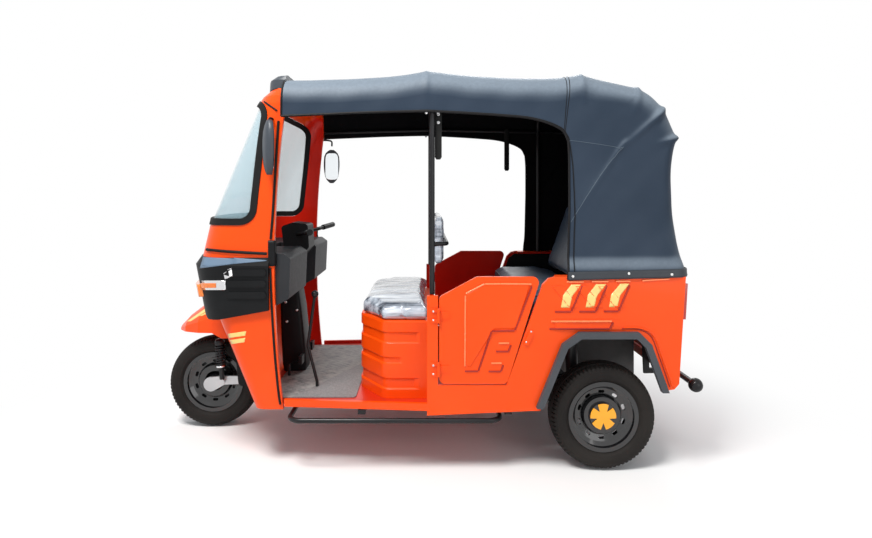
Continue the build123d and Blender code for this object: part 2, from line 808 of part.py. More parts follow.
# Chassis rails, cross members and outriggers
RAIL_Y = 280.0
RAIL_W = 40.0
RAIL_TOP = FLOOR_Z - FLOOR_T - FIT
RAIL_H = 50.0
KICK_TOP = 640.0
BUMPER_X = -1376.0
BUMPER_Z = 379.0
BUMPER_R = 15.0
BALL_R = 34.0
OUTRIGGER_H = 22.0
CROSS_H = 40.0
STEP_Y = 609.0
STEP_DROP = 48.0
with BuildPart() as chassis:
    low = RAIL_TOP - RAIL_H
    rail = [
        (740, low),
        (740, RAIL_TOP),
        (-520, RAIL_TOP),
        (-700, KICK_TOP),
        (-1240, KICK_TOP),
        (-1240, KICK_TOP - RAIL_H),
        (-735, KICK_TOP - RAIL_H),
        (-554, low),
    ]
    for y in (RAIL_Y, -RAIL_Y - RAIL_W):
        side_prism(rail, y, y + RAIL_W)
    cross_members = [
        (600, low + 5),
        (120, low + 5),
        (-480, low + 5),
        (-720, KICK_TOP - 45),
        (-1236, KICK_TOP - 45),
    ]
    for x, z in cross_members:
        side_prism([(x - 20, z), (x - 20, z + CROSS_H), (x + 20, z + CROSS_H), (x + 20, z)], -RAIL_Y, RAIL_Y)
    reach = SIDE_Y - SIDE_T - FIT
    for x in (250, -90, -452):
        for side in (1, -1):
            with Locations((x, side * (RAIL_Y + RAIL_W + reach) / 2, RAIL_TOP - OUTRIGGER_H / 2)):
                Box(36, reach - RAIL_Y - RAIL_W, OUTRIGGER_H)
    # Bumper arms drop from the rear ends of the rails
    for y in (RAIL_Y + RAIL_W / 2, -RAIL_Y - RAIL_W / 2):
        side_prism(
            [
                (-1200, KICK_TOP - RAIL_H),
                (-1238, KICK_TOP - RAIL_H),
                (-1238, BUMPER_Z + 14),
                (BUMPER_X + BUMPER_R - 4, BUMPER_Z + 10),
                (BUMPER_X + BUMPER_R - 4, BUMPER_Z - 10),
                (-1210, BUMPER_Z - 14),
            ],
            y - 8,
            y + 8,
        )
    for y in (RAIL_Y + RAIL_W / 2, -RAIL_Y - RAIL_W / 2):
        with Locations((BUMPER_X, y, BUMPER_Z)):
            Cylinder(BUMPER_R + FIT, 60, rotation=(90, 0, 0), mode=Mode.SUBTRACT)
save(chassis, "chassis")

with BuildPart() as bumper:
    tube_run([(BUMPER_X, -535, BUMPER_Z), (BUMPER_X, 535, BUMPER_Z)], BUMPER_R)
    with Locations((BUMPER_X, 535, BUMPER_Z), (BUMPER_X, -535, BUMPER_Z)):
        Sphere(BALL_R)
save(bumper, "rear_bumper")

with BuildPart() as steps:
    step_z = RAIL_TOP - STEP_DROP
    rail_face = RAIL_Y + RAIL_W + FIT
    tube_run(
        [(600, rail_face, step_z), (600, STEP_Y, step_z), (-415, STEP_Y, step_z), (-415, rail_face, step_z)],
        TUBE_R,
        60,
    )
    mirror(about=Plane.XZ)
save(steps, "side_steps")

# Rear trailing arms with hub carriers, drive shafts and shocks
ARM_PIVOT_X = -560.0
ENGINE_Y = 200.0
ARM_Y = 372.0
DRUM_Y = 432.0
with BuildPart() as suspension:
    with Locations((ARM_PIVOT_X, 360, 330)):
        Cylinder(26, 79, rotation=(90, 0, 0))
    tube_run([(ARM_PIVOT_X, ARM_Y, 330), (-700, ARM_Y, 262), (REAR_AXLE_X, ARM_Y, AXLE_Z)], 22, 60)
    with Locations((REAR_AXLE_X, ARM_Y + 9, AXLE_Z)):
        Cylinder(48, 88, rotation=(90, 0, 0))
    with Locations((REAR_AXLE_X, DRUM_Y - 14, AXLE_Z)):
        Cylinder(104, 12, rotation=(90, 0, 0))
    axle_end = HALF_TRACK + RIM_W / 2 - 25
    with Locations((REAR_AXLE_X, (DRUM_Y - 14 + axle_end) / 2, AXLE_Z)):
        Cylinder(AXLE_R, axle_end - DRUM_Y + 14, rotation=(90, 0, 0))
    tube_run([(REAR_AXLE_X - 70, ENGINE_Y + FIT + 30, 318), (REAR_AXLE_X, 345, AXLE_Z)], 13)
    with Locations((REAR_AXLE_X - 70, ENGINE_Y + FIT + 30, 318)):
        Sphere(30)
    # Shock with its spring sleeve, from the arm up to the rail
    tube_run([(-820, ARM_Y, 262), (-806, ARM_Y, 618)], 16)
    tube_run([(-817, ARM_Y, 330), (-807, ARM_Y, 540)], 34)
    with Locations((-806, 355, 610)):
        Box(40, 69, 24)
    mirror(about=Plane.XZ)
save(suspension, "rear_suspension")

with BuildPart() as engine:
    with Locations((-1030, 0, 420)):
        Box(330, 2 * ENGINE_Y, 340)
    fillet(engine.edges().filter_by(Axis.Y), 30)
save(engine, "engine")

# Bench base, with the deck over the engine in one level
BENCH_TOP = 712.0
BENCH_Y = 415.0
BENCH_BACK_X = TAIL_TOP_X + 41
with BuildPart() as bench:
    side_prism(
        [
            (BENCH_X, FLOOR_Z + FIT),
            (BENCH_X, BENCH_TOP),
            (BENCH_BACK_X, BENCH_TOP),
            (BENCH_BACK_X, BENCH_TOP - PLATE_T),
            (BENCH_X - PLATE_T, BENCH_TOP - PLATE_T),
            (BENCH_X - PLATE_T, FLOOR_Z + FIT),
        ],
        -BENCH_Y,
        BENCH_Y,
    )
    # Cheeks fill in between the base and the body sides over the wheels
    for side in (1, -1):
        y0, y1 = sorted((side * (BENCH_Y - 6), side * (PANEL_Y - 1)))
        side_prism(
            [
                (BENCH_X - 40, BENCH_TOP - 40),
                (BENCH_X - 40, BENCH_TOP),
                (BENCH_BACK_X, BENCH_TOP),
                (BENCH_BACK_X, BENCH_TOP - PLATE_T),
                (BENCH_X - 40 - PLATE_T, BENCH_TOP - PLATE_T),
                (BENCH_X - 40 - PLATE_T, BENCH_TOP - 40),
            ],
            y0,
            y1,
        )
        y0, y1 = sorted((side * BENCH_Y, side * (BENCH_Y - PLATE_T)))
        side_prism(
            [
                (BENCH_X, FLOOR_Z + FIT),
                (BENCH_X, BENCH_TOP),
                (BENCH_BACK_X, BENCH_TOP),
                (BENCH_BACK_X, KICK_TOP + 10),
                (-690, KICK_TOP + 10),
                (-530, FLOOR_Z + FIT),
            ],
            y0,
            y1,
        )
save(bench, "bench_base")

# The cushion's edges in the side view, and the backrest that leans from its rear end
CUSHION_TOP = 830.0
SEAT_HALF = 505.0
with BuildPart() as bench_seat:
    side_prism(
        [
            (BENCH_X + 12, BENCH_TOP + 14),
            (BENCH_X + 12, CUSHION_TOP - 22),
            (BENCH_X - 28, CUSHION_TOP),
            (-780, CUSHION_TOP),
            (-950, CUSHION_TOP - 40),
            (-950, BENCH_TOP + FIT),
            (BENCH_X + 4, BENCH_TOP + FIT),
        ],
        -SEAT_HALF,
        SEAT_HALF,
        radius=12,
    )
    side_prism(
        [(-842, CUSHION_TOP - 30), (-1004, 1266), (-1090, 1234), (-936, CUSHION_TOP - 66)],
        -SEAT_HALF,
        SEAT_HALF,
        radius=24,
    )
save(bench_seat, "bench_seat")

# Inner trim panels behind the doors
with BuildPart() as linings:
    lining_end = TAIL_TOP_X + 51
    lining = [
        (-572, BENCH_TOP + FIT),
        (-622, 868),
        (-664, 902),
        (lining_end, 902),
        (lining_end, BENCH_TOP + FIT),
    ]
    side_prism(lining, 582, SIDE_Y - SIDE_T - FIT, radius=20)
    mirror(about=Plane.XZ)
save(linings, "side_linings")

# Driver's seat
SEAT_FRONT = 273.0
SEAT_Y = 500.0
SEAT_TOP = 728.0
with BuildPart() as seat_box:
    with BuildSketch(Plane.XY.offset(FLOOR_Z + FIT)):
        with BuildLine():
            Polyline(
                (SEAT_FRONT - 60, -SEAT_Y),
                (SEAT_FRONT, -SEAT_Y + 60),
                (SEAT_FRONT, SEAT_Y - 60),
                (SEAT_FRONT - 60, SEAT_Y),
                (POST_X - 20, SEAT_Y),
                (POST_X - 20, -SEAT_Y),
                close=True,
            )
        make_face()
    extrude(amount=SEAT_TOP - FLOOR_Z - FIT)
    side_prism(
        [
            (SEAT_FRONT - 14, FLOOR_Z),
            (SEAT_FRONT - 14, SEAT_TOP - 8),
            (POST_X - 6, SEAT_TOP - 8),
            (POST_X - 6, FLOOR_Z),
        ],
        -SEAT_Y + 8,
        SEAT_Y - 8,
        Mode.SUBTRACT,
    )
    for side in (1, -1):
        for x in (186, 110, 34):
            for z in (420, 560):
                with Locations((x, side * (SEAT_Y + 2), z)):
                    Box(52, 4, 14)
                with Locations((x, side * (SEAT_Y + 2), z + 30)):
                    Box(52, 4, 14)
save(seat_box, "seat_box")

with BuildPart() as driver_seat:
    side_prism(
        [
            (SEAT_FRONT + 10, SEAT_TOP + FIT + 10),
            (SEAT_FRONT + 6, 870),
            (220, 905),
            (-70, 890),
            (-76, SEAT_TOP + FIT),
            (250, SEAT_TOP + FIT),
        ],
        -SEAT_Y,
        SEAT_Y,
        radius=9,
    )
    side_prism([(-98, 925), (-104, 1205), (-148.5, 1210), (-148.5, 930)], -300, 300, radius=18)
save(driver_seat, "driver_seat")

# Canopy: place along X, crown height. Ridges stand over the hoops and the cloth sags between them.
CANOPY_LEVELS = [
    (655.0, 1906.0),
    (-63.0, 1950.0),
    (-620.0, 1914.0),
    (-820.0, 1934.0),
    (-960.0, 1902.0),
    (-1076.0, 1880.0),
    (-1122.0, 1830.0),
    (-1190.0, 1786.0),
    (-1310.0, 1690.0),
]
CROWN_FALL = 36.0
SHOULDER_Y = 590.0
SHOULDER_R = 120.0
TAIL_CORNER_R = 70.0


def canopy_form(inset, mode=Mode.ADD):
    """The hood's outer form moved inwards by inset."""
    sections = []
    for x, crown in CANOPY_LEVELS:
        half = CANOPY_Y - inset
        top = SHOULDER_Y - inset
        edge_z = crown - CROWN_FALL - inset
        place = x + inset if x == CANOPY_LEVELS[0][0] else x
        with BuildSketch(Plane.YZ.offset(place)) as section:
            with BuildLine():
                Line((-half, BELT_Z - inset), (half, BELT_Z - inset))
                Line((half, BELT_Z - inset), (top, edge_z))
                ThreePointArc((top, edge_z), (0, crown - inset), (-top, edge_z))
                Line((-top, edge_z), (-half, BELT_Z - inset))
            make_face()
            fillet(section.vertices().sort_by(Axis.Y)[-2:], SHOULDER_R - inset)
        sections.append(section.sketch)
    loft(sections, ruled=True, mode=mode)


def hood_tail(inset):
    """Everything inside the hood's rear outline, side view and plan."""
    with BuildSketch(upright(700)) as outline:
        with BuildLine():
            Polyline(
                (-1310 + inset, BELT_Z - 40),
                (-1310 + inset, 990),
                (-1272 + inset, 1140),
                (-1254 + inset, 1290),
                (-1252 + inset, 1560),
            )
            ThreePointArc((-1252 + inset, 1560), (-1224 + inset, 1700 - inset), (-1140, 1850 - inset))
            Polyline(
                (-1140, 1850 - inset),
                (-1140, 1990 - inset),
                (800, 1990 - inset),
                (800, BELT_Z - 40),
                (-1310 + inset, BELT_Z - 40),
            )
        make_face()
    extrude(outline.sketch, amount=1400, mode=Mode.INTERSECT)
    with BuildSketch(Plane.XY.offset(BELT_Z - 60)) as plan:
        with BuildLine():
            FilletPolyline(
                (900, -CANOPY_Y + inset),
                (900, CANOPY_Y - inset),
                (-1310 + inset, CANOPY_Y - inset),
                (-1310 + inset, -CANOPY_Y + inset),
                radius=[1, 1, TAIL_CORNER_R - inset, TAIL_CORNER_R - inset],
                close=True,
            )
        make_face()
    extrude(plan.sketch, amount=1200, mode=Mode.INTERSECT)


VISOR_REAR_X = 630.0
DOORWAY = [
    (900, BELT_Z - 60),
    (900, 1683),
    (640, 1684),
    (-63, 1697),
    (-507, 1676),
    (-736, 1600),
    (-728, BELT_Z - 60),
]
with BuildPart() as hood_void:
    canopy_form(CANOPY_T)
    hood_tail(CANOPY_T)
with BuildPart() as canopy:
    canopy_form(0)
    hood_tail(0)
    add(hood_void.part, mode=Mode.SUBTRACT)
    with BuildSketch(upright(900)) as doorway:
        with BuildLine():
            FilletPolyline(*DOORWAY, radius=60, close=True)
        make_face()
    extrude(doorway.sketch, amount=1800, mode=Mode.SUBTRACT)
    side_prism([(640, 1500), (640, 1830), (900, 1830), (900, 1500)], -900, 900, Mode.SUBTRACT)
    front_cut = VISOR_REAR_X - FIT
    side_prism([(front_cut, 1816), (front_cut, 2000), (900, 2000), (900, 1816)], -900, 900, Mode.SUBTRACT)
save(canopy, "canopy")

# Roof frame: hoops with their legs, and rails along the edge of the roof
POLE_X = -88.0
LEG_Y = 566.0
BACK_BAR_X = -160.0
BACK_BAR_Z = 1070.0
HOOPS = [
    (POLE_X, 1948.4, POST_TOP_Z + FIT),
    (-820.0, 1934.0, BELT_Z + FIT),
    (-1062.0, 1878.0, BELT_Z + FIT),
]
with BuildPart() as roof_frame:
    for x, crown, foot in HOOPS:
        top = crown - CANOPY_T - FIT - TUBE_R
        with BuildLine() as hoop:
            FilletPolyline(
                (x, -LEG_Y, foot),
                (x, -LEG_Y, top - CROWN_FALL),
                (x, -290, top - CROWN_FALL * 0.28),
                (x, 0, top - 1),
                (x, 290, top - CROWN_FALL * 0.28),
                (x, LEG_Y, top - CROWN_FALL),
                (x, LEG_Y, foot),
                radius=[150, 900, 900, 900, 150],
            )
        with BuildSketch(Plane(origin=(x, -LEG_Y, foot), z_dir=(0, 0, 1))) as ring:
            Circle(TUBE_R)
        sweep(ring.sketch, path=hoop.line)
    for side in (1, -1):
        rail_ends = [(DOOR_CUT[0][0] - 4, 1722), (POLE_X, 1742), (HOOPS[2][0] - 6, 1722)]
        tube_run([(x, side * LEG_Y, z) for x, z in rail_ends], 9)
    # Bar behind the driver's backrest
    back_bar = [(POLE_X, -LEG_Y), (BACK_BAR_X, -520), (BACK_BAR_X, 520), (POLE_X, LEG_Y)]
    tube_run([(x, y, BACK_BAR_Z) for x, y in back_bar], 11, 30)
save(roof_frame, "roof_frame")

with BuildPart() as roof_block:
    cab(-1)
    under_roof(-1)
with BuildPart() as visor:
    nose_form(VISOR_LEVELS, 0)
    side_prism([(0, 1500), (0, 2100), (VISOR_REAR_X, 2100), (VISOR_REAR_X, 1500)], -900, 900, Mode.SUBTRACT)
    add(roof_block.part, mode=Mode.SUBTRACT)
save(visor, "visor_cap")

# Tail lamps, mirrors and straps
with BuildPart() as tail_lamps:
    tail_slab(712, 884, 546, 592, out=24, depth=24 - FIT)
    mirror(about=Plane.XZ)
save(tail_lamps, "tail_lamps")

MIRROR_Y = 612.0
STALK_Z = 1674.0
STALK_ROOT_X = 665.0
# The right one sits further back: side of the vehicle, place along X
MIRROR_PLACES = [(1, 690.0), (-1, 590.0)]
# Height, radius along X, radius across
MIRROR_LEVELS = [
    (1402.0, 14.0, 20.0),
    (1420.0, 24.0, 32.0),
    (1450.0, 28.0, 37.0),
    (1644.0, 28.0, 37.0),
    (1662.0, 17.0, 24.0),
]
with BuildPart() as mirrors:
    for side, x in MIRROR_PLACES:
        rings = []
        for z, along, across in MIRROR_LEVELS:
            with BuildSketch(Plane.XY.offset(z)) as ring:
                with Locations((x, side * MIRROR_Y)):
                    Ellipse(along, across)
            rings.append(ring.sketch)
        loft(rings, ruled=True)
        root_x = max(x, STALK_ROOT_X)
        stalk = [
            (root_x, side * (CAB_SIDE_Y + FIT), STALK_Z),
            (root_x, side * (CAB_SIDE_Y + 24), STALK_Z),
            (x + 1, side * MIRROR_Y, STALK_Z),
            (x + 1, side * MIRROR_Y, STALK_Z - 42),
        ]
        tube_run(stalk, 6, 7)
save(mirrors, "mirrors")

with BuildPart() as straps:
    for x, low in ((-118, 1480), (-606, 1466)):
        with Locations((x, LEG_Y - 9 - FIT - 2.5, (low + 1748) / 2)):
            Box(34, 5, 1748 - low)
    mirror(about=Plane.XZ)
save(straps, "grab_straps")

# Dashboard and controls
with BuildPart() as dash:
    side_prism(
        [(1250, 1012), (640, 1022), (604, 996), (612, 800), (668, 770), (730, 775), (752, 984), (1250, 980)],
        -545,
        545,
        radius=14,
    )
    cab(WALL + FIT, Mode.INTERSECT)
    side_prism([(500, 600), (500, 1100), (812, 1100), (862, 600)], -130, 130, Mode.SUBTRACT)
save(dash, "dashboard")

with BuildPart() as controls:
    foot = FLOOR_Z + MAT_T + 2 * FIT
    for y in (-150, 150):
        tube_run([(700, y, foot), (700, y, 370), (640, y, 392)], 8)
        with Locations((632, y, 396)):
            Box(18, 64, 46)
    tube_run([(512, 330, foot), (512, 330, 330), (560, 330, 520), (528, 318, 770)], 8)
    with Locations((526, 317, 786)):
        Sphere(19)
save(controls, "pedals_and_levers")
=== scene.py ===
import math
import random

import bmesh
import bpy
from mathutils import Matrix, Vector


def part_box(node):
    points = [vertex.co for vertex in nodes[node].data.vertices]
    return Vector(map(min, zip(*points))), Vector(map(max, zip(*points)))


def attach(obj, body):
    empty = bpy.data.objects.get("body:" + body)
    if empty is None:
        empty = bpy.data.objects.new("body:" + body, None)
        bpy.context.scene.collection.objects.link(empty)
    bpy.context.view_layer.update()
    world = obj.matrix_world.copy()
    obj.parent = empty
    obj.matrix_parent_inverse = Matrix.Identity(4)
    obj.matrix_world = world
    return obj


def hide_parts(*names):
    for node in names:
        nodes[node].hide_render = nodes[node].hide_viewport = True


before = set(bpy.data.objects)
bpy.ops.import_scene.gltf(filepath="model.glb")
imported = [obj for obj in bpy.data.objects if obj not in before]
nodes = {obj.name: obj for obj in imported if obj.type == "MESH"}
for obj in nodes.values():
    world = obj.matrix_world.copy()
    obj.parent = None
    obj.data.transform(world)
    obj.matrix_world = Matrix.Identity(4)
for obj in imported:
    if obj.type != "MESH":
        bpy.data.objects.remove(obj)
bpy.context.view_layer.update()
scene = bpy.context.scene
random.seed(7)

# Heights in the tables below start at the body's own datum, which stands this far above the floor
DATUM = 0.0165
AXLE_Z, FRONT_AXLE_X, REAR_AXLE_X, REAR_WHEEL_Y = 0.254, 1.156, -0.914, 0.520

# The lens is to the vehicle's left of its middle plane; the picture and its optics are in pixels
CAM = Vector((-0.053, 3.37, 1.321 + DATUM))
PICTURE_W, PICTURE_H = 872.0, 538.0
FOCAL_PX, CENTRE_X, HORIZON_Y = 580.0, 424.9, 192.3


# Shader nodes
def shader(name):
    """A new material, its tree and its main shader."""
    m = bpy.data.materials.new(name)
    m.use_nodes = True
    return m, m.node_tree, m.node_tree.nodes["Principled BSDF"]


def new_node(nt, kind, links=None, values=None, **settings):
    """A shader node with its settings, its fixed inputs and what is linked into it."""
    n = nt.nodes.new("ShaderNode" + kind)
    for key, value in settings.items():
        setattr(n, key, value)
    for key, value in (values or {}).items():
        n.inputs[key].default_value = value
    for key, source in (links or {}).items():
        nt.links.new(source, n.inputs[key])
    return n


def noise(nt, scale, detail=3.0, rough=0.5, stretch=None):
    where = new_node(nt, "TexCoord").outputs["Object"]
    if stretch:
        where = new_node(nt, "Mapping", {"Vector": where}, {"Scale": stretch}).outputs["Vector"]
    values = {"Scale": scale, "Detail": detail, "Roughness": rough}
    return new_node(nt, "TexNoise", {"Vector": where}, values).outputs["Fac"]


def ramp(nt, fac, *stops):
    r = new_node(nt, "ValToRGB", {"Fac": fac})
    while len(r.color_ramp.elements) < len(stops):
        r.color_ramp.elements.new(0.5)
    for e, (place, tone) in zip(r.color_ramp.elements, stops):
        e.position = place
        e.color = (*tone, 1.0)
    return r.outputs["Color"]


def span(nt, fac, lo, hi):
    """The factor spread from lo to hi."""
    return new_node(nt, "MapRange", {"Value": fac}, {"To Min": lo, "To Max": hi}).outputs["Result"]


def window(nt, value, start, end, kind="LINEAR"):
    """Nought to one while the value goes from start to end."""
    limits = {"From Min": start, "From Max": end}
    return new_node(nt, "MapRange", {"Value": value}, limits, interpolation_type=kind).outputs["Result"]


def maths(nt, operation, *terms, **values):
    n = new_node(nt, "Math", dict(enumerate(terms)), operation=operation)
    for key, value in values.items():
        n.inputs[int(key[1:])].default_value = value
    return n.outputs["Value"]


def blend(nt, fac, low, high):
    """One colour where the factor is 0 and the other where it is 1."""
    return new_node(nt, "Mix", {"Factor": fac, 6: low, 7: high}, data_type="RGBA").outputs[2]


def bump(nt, b, height, strength, distance):
    n = new_node(nt, "Bump", {"Height": height}, {"Strength": strength, "Distance": distance})
    nt.links.new(n.outputs["Normal"], b.inputs["Normal"])


def paler(tone, share):
    return tuple(c * share for c in tone)


def axes(nt, vector):
    return new_node(nt, "SeparateXYZ", {"Vector": vector}).outputs


# Finishes
def surface(name, dark, light, rough, metal=0.0, scale=40.0, grain=None, coat=0.0, spec=0.5, patch=3.0):
    """A procedural finish: two close tones, a roughness that wanders and a fine grain."""
    m, nt, b = shader(name)
    nt.links.new(ramp(nt, noise(nt, patch, 4.0), (0.3, dark), (0.7, light)), b.inputs["Base Color"])
    nt.links.new(span(nt, noise(nt, scale, 2.0), *rough), b.inputs["Roughness"])
    b.inputs["Metallic"].default_value = metal
    b.inputs["Specular IOR Level"].default_value = spec
    b.inputs["Coat Weight"].default_value = coat
    b.inputs["Coat Roughness"].default_value = 0.06
    if grain:
        grain_scale, strength, depth = grain
        bump(nt, b, noise(nt, grain_scale), strength, depth)
    return m


def base_of(m):
    """A finish's tree, its base colour input and what feeds it."""
    socket = m.node_tree.nodes["Principled BSDF"].inputs["Base Color"]
    return m.node_tree, socket, socket.links[0].from_socket


def inner_shade(m, dark):
    """Painted shade: the panels get a deeper tone on the faces that look inwards."""
    nt, socket, outer = base_of(m)
    geo = new_node(nt, "NewGeometry").outputs
    side = maths(nt, "SIGN", axes(nt, geo["Position"])["Y"])
    outward = maths(nt, "MULTIPLY", side, axes(nt, geo["True Normal"])["Y"])
    inner = ramp(nt, noise(nt, 5.0), (0.3, dark), (0.7, paler(dark, 1.15)))
    nt.links.new(blend(nt, window(nt, outward, -0.35, -0.6), outer, inner), socket)


def painted_sky_sheen(m, pale):
    """Painted sky reflection: the cloth is made lighter where it faces up."""
    nt, socket, base = base_of(m)
    up = axes(nt, new_node(nt, "NewGeometry").outputs["Normal"])["Z"]
    sky_sheen = ramp(nt, noise(nt, 60.0, 5.0, 0.7), (0.3, pale), (0.7, paler(pale, 1.18)))
    nt.links.new(blend(nt, window(nt, up, -0.02, 0.60, "SMOOTHSTEP"), base, sky_sheen), socket)


def film(name):
    """Clear film drawn over a grey cushion: glossy, with long fine folds whose highlights and shade are
    painted into the colour.
    """
    m, nt, b = shader(name)
    folds_and_painted_shading = noise(nt, 9.0, 4.0, 0.6, stretch=(0.35, 2.6, 3.2))
    # Painted highlights and painted shade along the folds: dark troughs, pale crests
    stops = [
        (0.36, (0.07, 0.085, 0.11)),
        (0.46, (0.30, 0.34, 0.40)),
        (0.56, (0.50, 0.56, 0.64)),
        (0.66, (0.72, 0.78, 0.84)),
    ]
    nt.links.new(ramp(nt, folds_and_painted_shading, *stops), b.inputs["Base Color"])
    nt.links.new(span(nt, noise(nt, 14.0), 0.12, 0.28), b.inputs["Roughness"])
    b.inputs["Coat Weight"].default_value = 0.8
    b.inputs["Coat Roughness"].default_value = 0.08
    bump(nt, b, folds_and_painted_shading, 0.7, 0.006)
    return m


# The painted patch of sunlight on the floor mat lies behind the line x = SLANT * y + SLANT_X, a painted
# shadow edge
SLANT, SLANT_X, SLANT_EDGE = 0.5, 0.36, 0.003


def ribbed_mat(name):
    """Grey floor rubber with small raised chequers, worn places and a painted patch of sunlight near the
    step.
    """
    m, nt, b = shader(name)
    where = new_node(nt, "TexCoord").outputs["Object"]
    tones = {"Scale": 46.0, "Color1": (0.10, 0.105, 0.11, 1), "Color2": (0.17, 0.175, 0.18, 1)}
    check = new_node(nt, "TexChecker", {"Vector": where}, tones).outputs
    place = axes(nt, where)
    slant = maths(nt, "MULTIPLY_ADD", place["Y"], _1=SLANT, _2=SLANT_X)
    sunlit_share = window(nt, maths(nt, "SUBTRACT", slant, place["X"]), -SLANT_EDGE, SLANT_EDGE)
    wear = noise(nt, 26.0, 5.0, 0.65)
    links = {"Factor": span(nt, wear, -0.6, 1.5), 6: check["Color"]}
    worn = new_node(nt, "Mix", links, {7: (0.42, 0.41, 0.39, 1)}, data_type="RGBA").outputs[2]
    # Painted sunlight: a lighter, mottled tone that takes the chequer's place behind the shadow edge
    painted_sunlight = ramp(nt, noise(nt, 120.0, 5.0, 0.7), (0.35, (0.17, 0.17, 0.175)), (0.65, (0.27, 0.27, 0.27)))
    nt.links.new(blend(nt, sunlit_share, worn, painted_sunlight), b.inputs["Base Color"])
    nt.links.new(span(nt, wear, 0.5, 0.75), b.inputs["Roughness"])
    bump(nt, b, check["Fac"], 0.5, 0.0015)
    return m


def glass(name, tint, alpha):
    m, nt, b = shader(name)
    g = noise(nt, 3.0)
    nt.links.new(ramp(nt, g, (0.3, tint), (0.7, paler(tint, 0.96))), b.inputs["Base Color"])
    nt.links.new(span(nt, g, 0.02, 0.05), b.inputs["Roughness"])
    b.inputs["Alpha"].default_value = alpha
    b.inputs["Specular IOR Level"].default_value = 0.7
    return m


PAINT = dict(scale=9.0, grain=(220.0, 0.05, 0.0006))
PLASTIC = dict(scale=60.0, grain=(900.0, 0.25, 0.0004))
COARSE = dict(scale=60.0, grain=(900.0, 0.3, 0.0004))
ORANGE = ((0.88, 0.070, 0.002), (0.92, 0.078, 0.003), (0.28, 0.38), dict(PAINT, coat=0.12, spec=0.2))
DULL = 0.16

